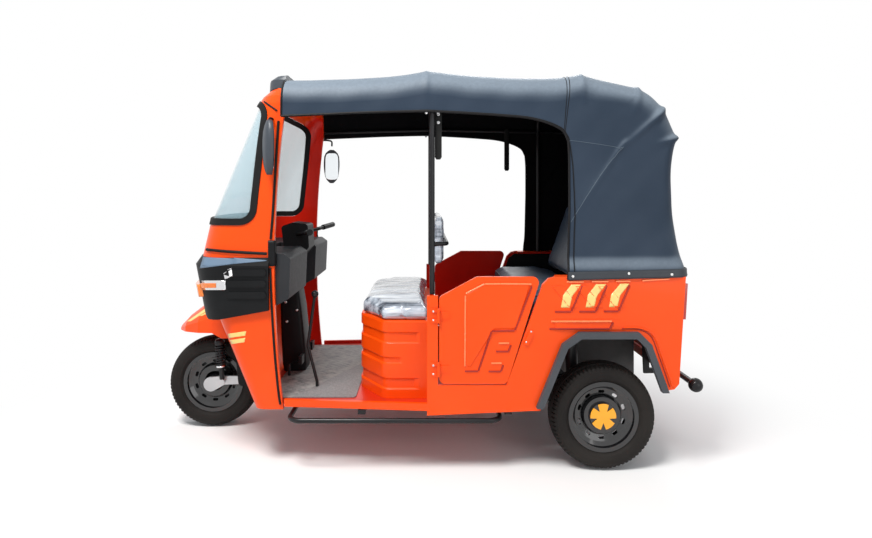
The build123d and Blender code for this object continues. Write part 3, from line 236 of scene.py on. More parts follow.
# Each finish: its name, dark tone, light tone, roughness from and to, and its other settings
FINISHES = {
    "orange": ("orange_paint", *ORANGE),
    "orange_plain": ("orange_plain_paint", *ORANGE),
    "red_inside": ("deep_red_paint", (0.50, 0.020, 0.004), (0.60, 0.026, 0.006), (0.32, 0.44),
                   dict(PAINT, coat=0.2)),
    # Painted shade for the lower edges of pressed shapes
    "shade_paint": ("painted_edge_shade", (0.30, 0.010, 0.002), (0.38, 0.014, 0.003), (0.4, 0.5), dict(scale=9.0)),
    # Painted highlight for the upper edges of pressed shapes
    "edge_light": ("painted_edge_highlight", (0.95, 0.20, 0.06), (0.98, 0.24, 0.08), (0.24, 0.3),
                   dict(scale=20.0, coat=0.3)),
    "black_steel": ("black_enamel", (0.008, 0.008, 0.009), (0.016, 0.016, 0.018), (0.28, 0.42),
                    dict(scale=30.0, grain=(300.0, 0.08, 0.0004), coat=0.2, spec=DULL)),
    # Painted sky reflection on the cladding's upper facets
    "facet": ("painted_facet_sheen", (0.10, 0.16, 0.24), (0.14, 0.21, 0.30), (0.4, 0.5), PLASTIC),
    "flare": ("grey_flare_plastic", (0.060, 0.066, 0.074), (0.078, 0.084, 0.094), (0.45, 0.58),
              dict(COARSE, spec=DULL)),
    "mirror_shell": ("mirror_shell_plastic", (0.030, 0.038, 0.050), (0.042, 0.052, 0.066), (0.4, 0.5),
                     PLASTIC),
    "rim_black": ("rim_enamel", (0.004, 0.004, 0.005), (0.008, 0.008, 0.009), (0.10, 0.18),
                  dict(scale=30.0, coat=0.7)),
    "lining": ("hood_lining", (0.002, 0.002, 0.003), (0.005, 0.005, 0.006), (0.7, 0.85),
               dict(scale=60.0, grain=(600.0, 0.3, 0.0005), spec=0.1)),
    "black_plastic": ("black_grained_plastic", (0.005, 0.0055, 0.006), (0.011, 0.0115, 0.013), (0.42, 0.55),
                      dict(PLASTIC, spec=DULL)),
    "dark_plastic": ("dark_grey_plastic", (0.022, 0.024, 0.027), (0.034, 0.036, 0.04), (0.45, 0.6),
                     dict(COARSE, spec=DULL)),
    "rubber": ("black_rubber", (0.008, 0.008, 0.008), (0.014, 0.014, 0.014), (0.55, 0.7),
               dict(scale=80.0, grain=(500.0, 0.2, 0.0004), spec=DULL)),
    "tyre": ("tyre_rubber", (0.011, 0.0095, 0.009), (0.022, 0.019, 0.017), (0.62, 0.78),
             dict(scale=60.0, grain=(600.0, 0.25, 0.0005), spec=DULL)),
    "chrome": ("chrome", (0.72, 0.72, 0.73), (0.82, 0.82, 0.83), (0.06, 0.14), dict(metal=1.0, scale=20.0)),
    "alloy": ("cast_alloy", (0.42, 0.42, 0.43), (0.56, 0.56, 0.57), (0.32, 0.5),
              dict(metal=1.0, scale=50.0, grain=(350.0, 0.3, 0.0008))),
    "iron": ("cast_iron", (0.06, 0.06, 0.06), (0.1, 0.1, 0.1), (0.5, 0.7),
             dict(metal=0.6, scale=40.0, grain=(260.0, 0.5, 0.001))),
    "amber": ("amber_lens", (0.75, 0.16, 0.01), (0.85, 0.22, 0.02), (0.12, 0.2), dict(scale=30.0, coat=0.8)),
    "red_lens": ("red_lens", (0.45, 0.01, 0.008), (0.55, 0.02, 0.012), (0.12, 0.2),
                 dict(scale=30.0, coat=0.8)),
    "canopy": ("hood_vinyl", (0.018, 0.031, 0.052), (0.026, 0.041, 0.066), (0.46, 0.58),
               dict(scale=25.0, grain=(700.0, 0.3, 0.0005), spec=0.18)),
    # Lighter tone of the hood's side seams: a painted highlight along the seams
    "seam_highlight": ("hood_seam_highlight", (0.07, 0.10, 0.13), (0.09, 0.125, 0.16), (0.5, 0.6),
                    dict(scale=40.0, grain=(700.0, 0.2, 0.0004))),
    "black_trim": ("black_piping", (0.006, 0.006, 0.007), (0.011, 0.011, 0.012), (0.4, 0.55),
                   dict(scale=60.0, grain=(400.0, 0.2, 0.0004), spec=DULL)),
    "black_trim_cloth": ("hem_vinyl", (0.013, 0.017, 0.023), (0.02, 0.025, 0.033), (0.42, 0.55),
                         dict(scale=40.0, grain=(600.0, 0.3, 0.0005))),
    "welt": ("seat_welt", (0.022, 0.03, 0.042), (0.032, 0.042, 0.058), (0.4, 0.5),
             dict(scale=60.0, grain=(500.0, 0.2, 0.0004))),
    "white_snap": ("white_snap", (0.78, 0.78, 0.77), (0.86, 0.86, 0.85), (0.25, 0.35), dict(scale=60.0)),
    "cream": ("cream_film", (0.84, 0.60, 0.18), (0.88, 0.65, 0.22), (0.3, 0.4), dict(scale=40.0, coat=0.2)),
    "yellow": ("yellow_enamel", (0.92, 0.34, 0.005), (0.96, 0.42, 0.01), (0.3, 0.4),
               dict(scale=40.0, coat=0.3)),
    "zinc": ("zinc_screw", (0.55, 0.55, 0.56), (0.68, 0.68, 0.69), (0.25, 0.4), dict(metal=1.0, scale=80.0)),
    "mirror": ("mirror_face", (0.84, 0.88, 0.90), (0.88, 0.91, 0.93), (0.03, 0.06),
               dict(metal=1.0, scale=10.0)),
    "seat": ("bench_vinyl", (0.035, 0.06, 0.10), (0.055, 0.085, 0.13), (0.34, 0.48),
             dict(scale=25.0, grain=(420.0, 0.4, 0.0008), patch=9.0)),
}
M = {
    key: surface(name, dark, light, rough, **settings)
    for key, (name, dark, light, rough, settings) in FINISHES.items()
}
# Painted shade on the inward faces of the orange panels
inner_shade(M["orange"], (0.80, 0.016, 0.004))
# Painted sky reflection on the upward faces of the hood
painted_sky_sheen(M["canopy"], (0.150, 0.185, 0.225))
M["driver_seat"] = film("film_over_vinyl")
M["mat"] = ribbed_mat("grey_mat")
M["glass"] = glass("windshield_glass", (0.42, 0.62, 0.70), 0.32)
M["lens_clear"] = glass("lens_glass", (0.9, 0.92, 0.93), 0.3)

# The CAD nodes of each finish
LOOKS = {
    "orange": "cowl side_left side_right rear_panel engine_hatch door_left door_right front_beak seat_box "
              "door_hinges",
    "red_inside": "floor_pan",
    "mat": "floor_mat",
    "glass": "windshield",
    "rubber": "windshield_seal grab_straps",
    "black_plastic": "front_cladding side_linings mirrors steering_gear",
    "dark_plastic": "dashboard",
    "mirror_shell": "visor_cap",
    "flare": "wheel_flares",
    "chrome": "lamp_bowls",
    "lens_clear": "headlamp_lenses",
    "amber": "signal_lamps",
    "red_lens": "tail_lamps",
    "driver_seat": "driver_seat",
    "seat": "bench_seat",
    "canopy": "canopy",
    "iron": "engine",
    "alloy": "front_link",
    "rim_black": "front_rim rear_left_rim rear_right_rim",
    "tyre": "front_tyre rear_left_tyre rear_right_tyre",
    "black_steel": "pedals_and_levers bench_base roof_frame side_steps rear_bumper rear_suspension chassis "
                   "front_shock",
}
for look, names in LOOKS.items():
    for name in names.split():
        nodes[name].data.materials.clear()
        nodes[name].data.materials.append(M[look])


# Helpers for the pieces
def seen(u, v, y):
    """Side-view place (x, z) of a spot that the photograph shows at (u, v), on the plane at this y."""
    k = FOCAL_PX / (CAM.y - y)
    return (CENTRE_X - u) / k + CAM.x, CAM.z - (v - HORIZON_Y) / k


def both(side, p):
    """The point, or its mirror image on the vehicle's right."""
    return Vector((p[0], p[1] * side, p[2]))


def add_piece(name, data, look, body):
    """A piece from mesh or curve data, with its finish, riding a body."""
    data.materials.append(M[look])
    o = bpy.data.objects.new(name, data)
    scene.collection.objects.link(o)
    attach(o, body)
    return o


def shade(me, smooth):
    me.polygons.foreach_set("use_smooth", [smooth] * len(me.polygons))


def make(name, verts, faces, look, slot, body="body", smooth=True):
    me = bpy.data.meshes.new(name)
    me.from_pydata([tuple(v) for v in verts], [], faces)
    me.validate()
    shade(me, smooth)
    return add_piece(name, me, look, body)


def from_bmesh(name, bm, look, body="body", smooth=True):
    me = bpy.data.meshes.new(name)
    bmesh.ops.recalc_face_normals(bm, faces=bm.faces)
    bm.to_mesh(me)
    bm.free()
    shade(me, smooth)
    return add_piece(name, me, look, body)


def weld(o):
    """Joins the points that lie together and turns all faces outwards."""
    bm = bmesh.new()
    bm.from_mesh(o.data)
    bmesh.ops.remove_doubles(bm, verts=bm.verts, dist=0.00005)
    bmesh.ops.recalc_face_normals(bm, faces=bm.faces)
    bm.to_mesh(o.data)
    bm.free()
    return o


def grid(rows):
    """Vertices and faces of rows of equal length."""
    n = len(rows[0])
    verts = [p for row in rows for p in row]
    faces = [
        (i * n + j, i * n + j + 1, (i + 1) * n + j + 1, (i + 1) * n + j)
        for i in range(len(rows) - 1)
        for j in range(n - 1)
    ]
    return verts, faces


def last_ring(verts, rows):
    """The closing face of a tube of rows whose last point repeats the first."""
    n = len(rows[0])
    return tuple(len(verts) - n + i for i in range(n - 1))


def turn(count):
    """Angles of a full turn, the first again at the end."""
    return [math.tau * i / count for i in range(count + 1)]


def line(name, runs, r, look, body="body", cyclic=False, res=2):
    """Round piping or wire along one or more runs of points."""
    cu = bpy.data.curves.new(name, "CURVE")
    cu.dimensions = "3D"
    cu.bevel_depth = r
    cu.bevel_resolution = res
    cu.use_fill_caps = True
    for pts in runs:
        sp = cu.splines.new("POLY")
        sp.points.add(len(pts) - 1)
        for q, p in zip(sp.points, pts):
            q.co = (*p, 1.0)
        sp.use_cyclic_u = cyclic
    return add_piece(name, cu, look, body)


def curve_points(pts, n=8):
    """Points eased through the given ones."""
    pts = [Vector(p) for p in pts]
    held = [pts[0] * 2 - pts[1]] + pts + [pts[-1] * 2 - pts[-2]]
    out = []
    for a, b, c, d in zip(held, held[1:], held[2:], held[3:]):
        square = 2 * a - 5 * b + 4 * c - d
        cube = 3 * b - a - 3 * c + d
        for s in range(n):
            t = s / n
            out.append(0.5 * (2 * b + (c - a) * t + square * t * t + cube * t ** 3))
    out.append(pts[-1])
    return out


HEAD_SIDES = 12


def screws(name, places, r, look, dome=0.45):
    """Domed screw heads with a sunk drive: each place is (point, outward direction)."""
    bm = bmesh.new()
    rings = [
        (1.0, 0.0), (1.0, dome * 0.45), (0.86, dome * 0.8),
        (0.55, dome), (0.42, dome), (0.34, dome * 0.45),
    ]
    for p, n in places:
        n = Vector(n).normalized()
        a = n.orthogonal().normalized()
        b = n.cross(a)
        last = None
        for f, h in rings:
            ring = [
                bm.verts.new(Vector(p) + (a * math.cos(t) + b * math.sin(t)) * r * f + n * r * h)
                for t in turn(HEAD_SIDES)[:-1]
            ]
            if last:
                for i in range(HEAD_SIDES):
                    j = (i + 1) % HEAD_SIDES
                    bm.faces.new((last[i], last[j], ring[j], ring[i]))
            last = ring
        bm.faces.new(last)
    return from_bmesh(name, bm, look)


def prism(name, low, high, look, slot, soften):
    """A block between two outlines of equal length, with softened edges."""
    bm = bmesh.new()
    low, high = [[bm.verts.new(p) for p in ring] for ring in (low, high)]
    for i in range(len(low)):
        j = (i + 1) % len(low)
        bm.faces.new((low[i], low[j], high[j], high[i]))
    bm.faces.new(list(reversed(low)))
    bm.faces.new(high)
    bmesh.ops.bevel(bm, geom=bm.edges[:], offset=soften, segments=3, profile=0.5, affect="EDGES")
    return from_bmesh(name, bm, look)


FILL_FRAMES = 16


def swell(o, pressure, cap, low=None, voxel=0.008):
    """Fills a cushion by cloth simulation, holds it within cap of its own shape, and softens it."""
    rm = o.modifiers.new("even", "REMESH")
    rm.mode = "VOXEL"
    rm.voxel_size = voxel
    bpy.context.view_layer.objects.active = o
    o.select_set(True)
    bpy.ops.object.modifier_apply(modifier=rm.name)
    start = [v.co.copy() for v in o.data.vertices]
    cl = o.modifiers.new("fill", "CLOTH")
    cl.settings.quality = 4
    cl.settings.use_pressure = True
    cl.settings.uniform_pressure_force = pressure
    cl.settings.tension_stiffness = 20
    cl.settings.compression_stiffness = 12
    cl.settings.bending_stiffness = 4
    cl.settings.effector_weights.gravity = 0.0
    for f in range(1, FILL_FRAMES + 1):
        scene.frame_set(f)
    bpy.ops.object.modifier_apply(modifier=cl.name)
    scene.frame_set(1)
    for v, s in zip(o.data.vertices, start):
        d = v.co - s
        if d.length > cap:
            v.co = s + d.normalized() * cap
        if low is not None and v.co.z < low:
            v.co.z = low
    sub = o.modifiers.new("soft", "SUBSURF")
    sub.levels = sub.render_levels = 1
    bpy.ops.object.modifier_apply(modifier=sub.name)
    o.select_set(False)
    shade(o.data, True)


def crumple(o, size, depth, seed, low=None):
    """Fine creases in a stretched cover, from seeded waves that cross each other."""
    rng = random.Random(seed)
    waves = []
    for _ in range(7):
        way = Vector((rng.uniform(-1, 1), rng.uniform(-1, 1), rng.uniform(-1, 1))).normalized() * math.tau
        waves.append((way / (size * rng.uniform(0.6, 1.8)), rng.uniform(0, 6)))
    moves = []
    for v in o.data.vertices:
        if low is not None and v.co.z < low + 0.004:
            moves.append(0.0)
            continue
        total = 0.0
        for way, phase in waves:
            bend = 0.8 * math.sin(3.1 * way.dot(v.co.yzx) * 0.35)
            total += 1.0 - 2.0 * abs(math.sin(0.5 * (way.dot(v.co) + phase + bend)))
        moves.append(depth * total / len(waves))
    normals = [v.normal.copy() for v in o.data.vertices]
    for v, n, m in zip(o.data.vertices, normals, moves):
        v.co += n * m
    o.data.update()


def on_skin(o, pts, lift):
    """The points moved onto the nearest place of a piece, and lifted off it."""
    out = []
    for p in pts:
        _, place, normal, _ = o.closest_point_on_mesh(Vector(p))
        out.append(place + normal * lift)
    return out


# Stage: floor, backdrop, lamps, and the camera at the photograph's angle
def seen_directly(nt):
    """One for the rays that look at the backdrop: camera, glossy and transmission rays."""
    ray = new_node(nt, "LightPath").outputs
    looking = maths(nt, "MAXIMUM", ray["Is Camera Ray"], ray["Is Glossy Ray"])
    return maths(nt, "MAXIMUM", looking, ray["Is Transmission Ray"])


FLOOR_SIZE, WHITE_FROM, WHITE_TO = 60, 1.1, 2.6


def studio_floor():
    """A pale floor that fades to white away from the vehicle."""
    bpy.ops.mesh.primitive_plane_add(size=FLOOR_SIZE, location=(0, 0, -0.0005))
    floor = bpy.context.object
    floor.name = "studio_floor"
    m, nt, b = shader("studio_floor_paint")
    pale = ramp(nt, noise(nt, 0.8), (0.3, (0.93, 0.93, 0.93)), (0.7, (0.95, 0.95, 0.95)))
    nt.links.new(pale, b.inputs["Base Color"])
    nt.links.new(span(nt, noise(nt, 4.0), 0.75, 0.85), b.inputs["Roughness"])
    b.inputs["Specular IOR Level"].default_value = 0.1
    white = new_node(nt, "Emission", values={"Color": (1, 1, 1, 1), "Strength": 1.0})
    where = new_node(nt, "TexCoord").outputs["Object"]
    away = new_node(nt, "VectorMath", {0: where}, operation="LENGTH").outputs["Value"]
    fade = window(nt, away, WHITE_FROM, WHITE_TO, "SMOOTHSTEP")
    links = {
        "Fac": maths(nt, "MULTIPLY", seen_directly(nt), fade),
        1: b.outputs["BSDF"],
        2: white.outputs["Emission"],
    }
    mix = new_node(nt, "MixShader", links)
    nt.links.new(mix.outputs["Shader"], nt.nodes["Material Output"].inputs["Surface"])
    floor.data.materials.append(m)


def studio_world():
    """Soft sky light, with white behind what is looked at directly."""
    world = bpy.data.worlds.new("studio") if scene.world is None else scene.world
    scene.world = world
    world.use_nodes = True
    nt = world.node_tree
    nt.nodes.clear()
    sky = new_node(nt, "Background", values={"Color": (0.93, 0.96, 1.0, 1.0), "Strength": 0.40})
    white = new_node(nt, "Background", values={"Color": (1, 1, 1, 1), "Strength": 1.0})
    links = {"Fac": seen_directly(nt), 1: sky.outputs["Background"], 2: white.outputs["Background"]}
    mix = new_node(nt, "MixShader", links)
    new_node(nt, "OutputWorld", {"Surface": mix.outputs["Shader"]})


def lamp(name, place, aim_z, energy, size, color=(1, 1, 1)):
    """A square lamp that looks at a height on the vehicle's middle."""
    d = bpy.data.lights.new(name, "AREA")
    d.energy = energy
    d.size = size
    d.color = color
    o = bpy.data.objects.new(name, d)
    scene.collection.objects.link(o)
    o.location = place
    o.rotation_euler = (Vector((0, 0, aim_z)) - Vector(place)).to_track_quat("-Z", "Y").to_euler()


def photo_camera():
    data = bpy.data.cameras.new("camera")
    data.sensor_width = 36.0
    data.lens = FOCAL_PX / PICTURE_W * 36.0
    data.shift_x = (PICTURE_W / 2 - CENTRE_X) / PICTURE_W
    data.shift_y = -(PICTURE_H / 2 - HORIZON_Y) / PICTURE_W
    data.clip_start = 0.05
    data.clip_end = 100.0
    cam = bpy.data.objects.new("camera", data)
    scene.collection.objects.link(cam)
    cam.location = CAM
    cam.rotation_euler = (math.radians(90), 0, math.radians(180))
    scene.camera = cam


studio_floor()
studio_world()
lamp("key", (1.5, 2.7, 5.4), 0.9, 330, 1.7, (1.0, 0.985, 0.96))
lamp("fill", (-3.2, 4.6, 1.6), 0.8, 45, 3.0)
lamp("rim", (-1.5, -4.0, 4.4), 1.0, 120, 2.4)
photo_camera()
scene.view_settings.view_transform = "Standard"

# Hood: one stretched sheet over the hoops
# Doorway edge (x, z), far end of the line of cloth at the shoulder (x, z), rise from shoulder to crown,
# shoulder radius, and whether a hoop makes a ridge there
HOOD_LINES = [
    ((0.636, 1.686), (0.636, 1.868), 0.036, 0.115, True),
    ((0.430, 1.695), (0.430, 1.871), 0.036, 0.120, False),
    ((0.240, 1.703), (0.240, 1.880), 0.036, 0.120, False),
    ((0.050, 1.708), (0.050, 1.896), 0.036, 0.120, False),
    ((-0.063, 1.710), (-0.063, 1.914), 0.036, 0.118, True),
    ((-0.233, 1.702), (-0.233, 1.895), 0.036, 0.120, False),
    ((-0.423, 1.690), (-0.423, 1.882), 0.036, 0.122, False),
    ((-0.545, 1.678), (-0.545, 1.877), 0.036, 0.122, False),
    ((-0.636, 1.655), (-0.636, 1.877), 0.036, 0.122, False),
    ((-0.709, 1.619), (-0.720, 1.882), 0.036, 0.120, False),
    ((-0.738, 1.570), (-0.822, 1.897), 0.036, 0.118, True),
    ((-0.743, 1.500), (-0.960, 1.862), 0.034, 0.118, False),
    ((-0.744, 1.430), (-1.100, 1.832), 0.032, 0.112, True),
    ((-0.744, 1.360), (-1.165, 1.790), 0.028, 0.110, False),
    ((-0.744, 1.290), (-1.224, 1.732), 0.024, 0.105, True),
    ((-0.743, 1.235), (-1.252, 1.668), 0.018, 0.100, False),
    ((-0.742, 1.180), (-1.284, 1.588), 0.014, 0.085, True),
    ((-0.741, 1.140), (-1.266, 1.520), 0.012, 0.085, False),
    ((-0.740, 1.100), (-1.254, 1.430), 0.010, 0.080, False),
    ((-0.739, 1.055), (-1.254, 1.320), 0.010, 0.080, False),
    ((-0.737, 1.010), (-1.262, 1.205), 0.010, 0.078, False),
    ((-0.735, 0.970), (-1.280, 1.085), 0.010, 0.075, False),
    ((-0.733, 0.938), (-1.302, 0.985), 0.010, 0.072, False),
    ((-0.731, 0.907), (-1.313, 0.922), 0.010, 0.070, True),
]
# Creases: from (x, z), to (x, z), height and width
CREASES = [
    ((-1.224, 1.732), (-0.960, 1.498), 0.0120, 0.017),
    ((-1.010, 1.560), (-0.744, 1.170), 0.0050, 0.012),
    ((-1.284, 1.588), (-1.150, 1.548), 0.0120, 0.015),
    ((-0.822, 1.897), (-0.822, 1.740), 0.0090, 0.012),
    ((-1.100, 1.832), (-1.055, 1.670), 0.0090, 0.015),
    ((-0.063, 1.914), (-0.063, 1.745), 0.0050, 0.014),
]
LINE_STEP = 0.0105
LEG_PARTS, ARC_PARTS, CROWN_PARTS = 34, 9, 34
ROUNDING = 0.58  # how far a shoulder's control points stand off, as a share of its radius
CLOTH_THICK = 0.003


def smooth_step(t):
    return t * t * (3 - 2 * t)


def half_width(z):
    """Half the hood's width: nearly upright sides that spread over the body at the hem."""
    flare = max(0.0, min(1.0, (1.02 - z) / 0.075))
    return 0.604 - 0.014 * (z - 0.92) / 0.98 + 0.0205 * smooth_step(flare)


def eased_lines(step):
    """The table's lines with eased ones between them, and a break in the ease at each ridge."""
    keys = [(*o, *p, rise, r) for o, p, rise, r, _ in HOOD_LINES]
    ridge = [row[-1] for row in HOOD_LINES]
    at = [0.0]
    for a, b in zip(keys, keys[1:]):
        at.append(at[-1] + math.hypot(b[2] - a[2], b[3] - a[3]) + 0.5 * math.hypot(b[0] - a[0], b[1] - a[1]))
    slopes = []
    for i in range(len(keys)):
        lo = i if ridge[i] or i == 0 else i - 1
        hi = min(i + 1, len(keys) - 1)
        slopes.append([(keys[hi][c] - keys[lo][c]) / max(at[hi] - at[lo], 1e-6) for c in range(6)])
    out = []
    for i in range(len(keys) - 1):
        h = at[i + 1] - at[i]
        near, far, away, into = keys[i], keys[i + 1], slopes[i], slopes[i + 1]
        if ridge[i + 1]:
            into = [(far[c] - near[c]) / h for c in range(6)]
        parts = max(1, round(h / step))
        for s in range(parts):
            t = s / parts
            a = 2 * t ** 3 - 3 * t * t + 1
            b = t ** 3 - 2 * t * t + t
            c = 3 * t * t - 2 * t ** 3
            d = t ** 3 - t * t
            out.append([a * near[q] + b * h * away[q] + c * far[q] + d * h * into[q] for q in range(6)])
    out.append(list(keys[-1]))
    return out


def cloth_line(ox, oz, px, pz, rise, r):
    """One line of cloth from the near edge over the shoulder and the crown to the far edge."""
    d = Vector((px - ox, pz - oz))
    reach = d.length
    d.normalize()
    half = half_width(pz)
    path = []
    for i in range(LEG_PARTS):
        s = (reach - r) * i / LEG_PARTS
        path.append((s, half_width(oz + d.y * s)))
    edge = half - r
    slope = 2 * rise * edge / half ** 2
    p0 = (reach - r, half_width(oz + d.y * (reach - r)))
    p3 = (reach + rise * (1 - (edge / half) ** 2), edge)
    p1 = (p0[0] + ROUNDING * r, p0[1])
    p2 = (p3[0] - 0.5 * r * slope, p3[1] + ROUNDING * r)
    for i in range(ARC_PARTS):
        t = i / ARC_PARTS
        w = ((1 - t) ** 3, 3 * t * (1 - t) ** 2, 3 * t * t * (1 - t), t ** 3)
        path.append(tuple(sum(k * q[c] for k, q in zip(w, (p0, p1, p2, p3))) for c in (0, 1)))
    for i in range(CROWN_PARTS // 2 + 1):
        y = edge * (1 - i / (CROWN_PARTS // 2))
        path.append((reach + rise * (1 - (y / half) ** 2), y))
    path += [(s, -y) for s, y in reversed(path[:-1])]
    return [Vector((ox + d.x * s, y, oz + DATUM + d.y * s)) for s, y in path]


def crease_height(x, z):
    total = 0.0
    for (ax, az), (bx, bz), height, width in CREASES:
        a, b, p = Vector((ax, az + DATUM)), Vector((bx, bz + DATUM)), Vector((x, z))
        t = max(0.0, min(1.0, (p - a).dot(b - a) / (b - a).length_squared))
        away = (p - a - (b - a) * t).length
        total += height * (1 - t) * math.exp(-((away / width) ** 2))
    return total


def build_hood():
    """The sheet with its creases and slow ripples, its rows of points, and its area."""
    rows = [cloth_line(*k) for k in eased_lines(LINE_STEP)]
    verts, faces = grid(rows)
    o = make("hood_sheet", verts, faces, "lining", "blue_vinyl")
    me = o.data
    normals = [v.normal.copy() for v in me.vertices]
    centre = Vector((-0.3, 0.0, 1.3))
    flip = sum((v.co - centre).dot(n) for v, n in zip(me.vertices, normals)) < 0
    for v, n in zip(me.vertices, normals):
        n = -n if flip else n
        side = min(1.0, max(0.0, (abs(v.co.y) - 0.40) / 0.15))
        c = v.co
        ripple = 0.0016 * math.sin(9.0 * c.x + 5.0 * c.z) * math.sin(11.0 * c.z - 4.0 * c.x)
        ripple += 0.0009 * math.sin(31.0 * (c.x + 0.6 * c.z)) * math.sin(13.0 * c.z)
        v.co = v.co + n * (side * crease_height(c.x, c.z) + ripple - 0.002)
    me.update()
    area = sum(p.area for p in me.polygons)
    me.materials.append(M["canopy"])
    sol = o.modifiers.new("thickness", "SOLIDIFY")
    sol.material_offset = 1
    sol.material_offset_rim = 1
    sol.thickness = CLOTH_THICK
    sol.offset = 1.0 if flip else -1.0
    return o, rows, area


hood, hood_rows, hood_area = build_hood()
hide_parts("canopy")
ROWS, COLS = range(len(hood_rows)), range(len(hood_rows[0]))
LAST_COL = COLS[-1]
SHOULDER_COL = 40
SEAM_X, SEAM_Z = -0.745, 1.62
SIDE_SEAMS = [
    [(-0.744, 1.569), (-0.815, 1.562), (-0.925, 1.545), (-1.006, 1.532)],
    [(-1.006, 1.536), (-0.930, 1.462), (-0.850, 1.345), (-0.750, 1.178)],
]
# The hem's section from its lower inner edge: height above the sheet's edge, and how far out it stands
HEM_SECTION = [
    (-0.002, 0.0), (-0.003, 0.004), (0.004, 0.0062), (0.012, 0.0052),
    (0.024, 0.0056), (0.031, 0.0066), (0.036, 0.0048), (0.037, 0.0),
]
SIDE_SNAPS = [(573.0, 276.5), (629.0, 273.5), (672.0, 274.5)]  # picture points
BACK_SNAP_YS = (-0.42, -0.14, 0.14, 0.42)


def hood_at(i, j, lift=0.0):
    """Place on the finished hood at row i and column j."""
    p = hood.data.vertices[i * len(COLS) + j].co
    return p + Vector((0.0, math.copysign(lift, p.y), 0.0))


def hood_across(rows):
    return [[hood_at(i, j) for j in COLS] for i in rows]


def seam_distance(i):
    return abs(hood_rows[i][SHOULDER_COL].x - SEAM_X) + abs(hood_rows[i][0].z - SEAM_Z) * 0.1


def build_hem():
    """The doubled edge round the sheet's lower end."""
    edge = hood_rows[-1]
    rings = []
    for h, push in HEM_SECTION:
        ring = []
        for j, p in enumerate(edge):
            t = (edge[min(j + 1, LAST_COL)] - edge[max(j - 1, 0)]).normalized()
            n = Vector((t.y, -t.x, 0.0))
            if n.dot(p - Vector((-0.9, 0, p.z))) < 0:
                n = -n
            lean = 0.0 if h < 0 else -0.10 * h
            ring.append(p + n * (push + lean) + Vector((0, 0, h)))
        rings.append(ring)
    return make("hood_hem", *grid(rings), "black_trim_cloth", "blue_vinyl")


def build_snaps():
    places = []
    for side in (1, -1):
        for u, v in SIDE_SNAPS:
            x, z = seen(u, v, 0.63)
            places.append(((x, side * 0.6295, z), (0, side, 0)))
    for y in BACK_SNAP_YS:
        places.append(((-1.3265, y, 0.925 + DATUM), (-1, 0, 0)))
    return screws("hood_snaps", places, 0.0062, "white_snap", dome=0.6)


door_edges = [[hood_at(i, j) for i in ROWS] for j in (0, LAST_COL)]
tapes = [[hood_at(i, j, 0.0015) for i in ROWS] for j in (2, LAST_COL - 2)]
piping = line("hood_piping", door_edges + hood_across([0]), 0.0052, "black_trim")
inner = line("hood_edge_tape", tapes, 0.0026, "black_trim")
near_seam = min(ROWS, key=seam_distance)
seams = line("hood_seams", hood_across([near_seam, near_seam + 2]), 0.0018, "black_trim")
stitched = []
for side in (1, -1):
    for pts in SIDE_SEAMS:
        run = curve_points([(x, side * 0.62, z + DATUM) for x, z in pts], 10)
        stitched.append(on_skin(hood, run, 0.0002))
# Real seams drawn in a lighter tone, which is a painted highlight along them
light_seams = line("hood_side_seams", stitched, 0.0011, "seam_highlight")
hem = build_hem()
snaps = build_snaps()

# The box under the driver's seat: plan from the near rear corner round the front to the far one, and its
# pressed bands (low, high, how far each runs back)
BOX_PLAN = [
    (-0.083, 0.500), (0.150, 0.500), (0.286, 0.300),
    (0.286, -0.300), (0.150, -0.500), (-0.083, -0.500),
]
BOX_TOP, BOX_LOW = 0.684, 0.3005
BOX_BANDS = [(0.574, 0.630, -0.022), (0.471, 0.505, 0.065), (0.346, 0.402, -0.015)]
BOX_LEVELS, BOX_RUN_PARTS, BOX_BEND_PARTS, BOX_BEND = 128, 14, 6, 0.035
BAND_DEPTH, BAND_SLOPE = 0.0075, 0.006


def box_path():
    """The box's plan with rounded corners: places and the way along them."""
    corners = [Vector(p) for p in BOX_PLAN]
    path = []
    for i, (a, b) in enumerate(zip(corners, corners[1:])):
        bends = i < len(corners) - 2
        start = BOX_BEND if i else 0.0
        stop = BOX_BEND if bends else 0.0
        d = (b - a).normalized()
        run = (b - a).length
        for q in range(BOX_RUN_PARTS + 1):
            path.append((a + d * (start + (run - start - stop) * q / BOX_RUN_PARTS), d))
        if bends:
            d2 = (corners[i + 2] - b).normalized()
            p0, p2 = b - d * BOX_BEND, b + d2 * BOX_BEND
            for q in range(1, BOX_BEND_PARTS):
                t = q / BOX_BEND_PARTS
                p = p0 * (1 - t) ** 2 + b * 2 * t * (1 - t) + p2 * t * t
                path.append((p, (d * (1 - t) + d2 * t).normalized()))
    return path


def seat_box():
    path = box_path()
    rows = []
    for k in range(BOX_LEVELS + 1):
        z = BOX_LOW + (BOX_TOP - BOX_LOW) * k / BOX_LEVELS
        row = []
        for p, d in path:
            out = Vector((-d.y, d.x))
            if out.dot(p - Vector((0.05, 0.0))) < 0:
                out = -out
            press = 0.0
            for lo, hi, back in BOX_BANDS:
                edge = min(z - lo, hi - z, p.x - back)
                press = max(press, max(0.0, min(1.0, edge / BAND_SLOPE)))
            shoulder = 0.004 * max(0.0, 1 - (BOX_TOP - z) / 0.008)
            q = p - out * (BAND_DEPTH * press + shoulder)
            row.append((q.x, q.y, z + DATUM))
        rows.append(row)
    verts, faces = grid(rows)
    n = len(path)
    top = [len(verts) - n + i for i in range(n)]
    faces += [tuple(top), (n - 1, 0, top[0], top[-1])]
    box = make("seat_box_shell", verts, faces, "orange_plain", "orange_paint", smooth=False)
    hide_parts("seat_box")


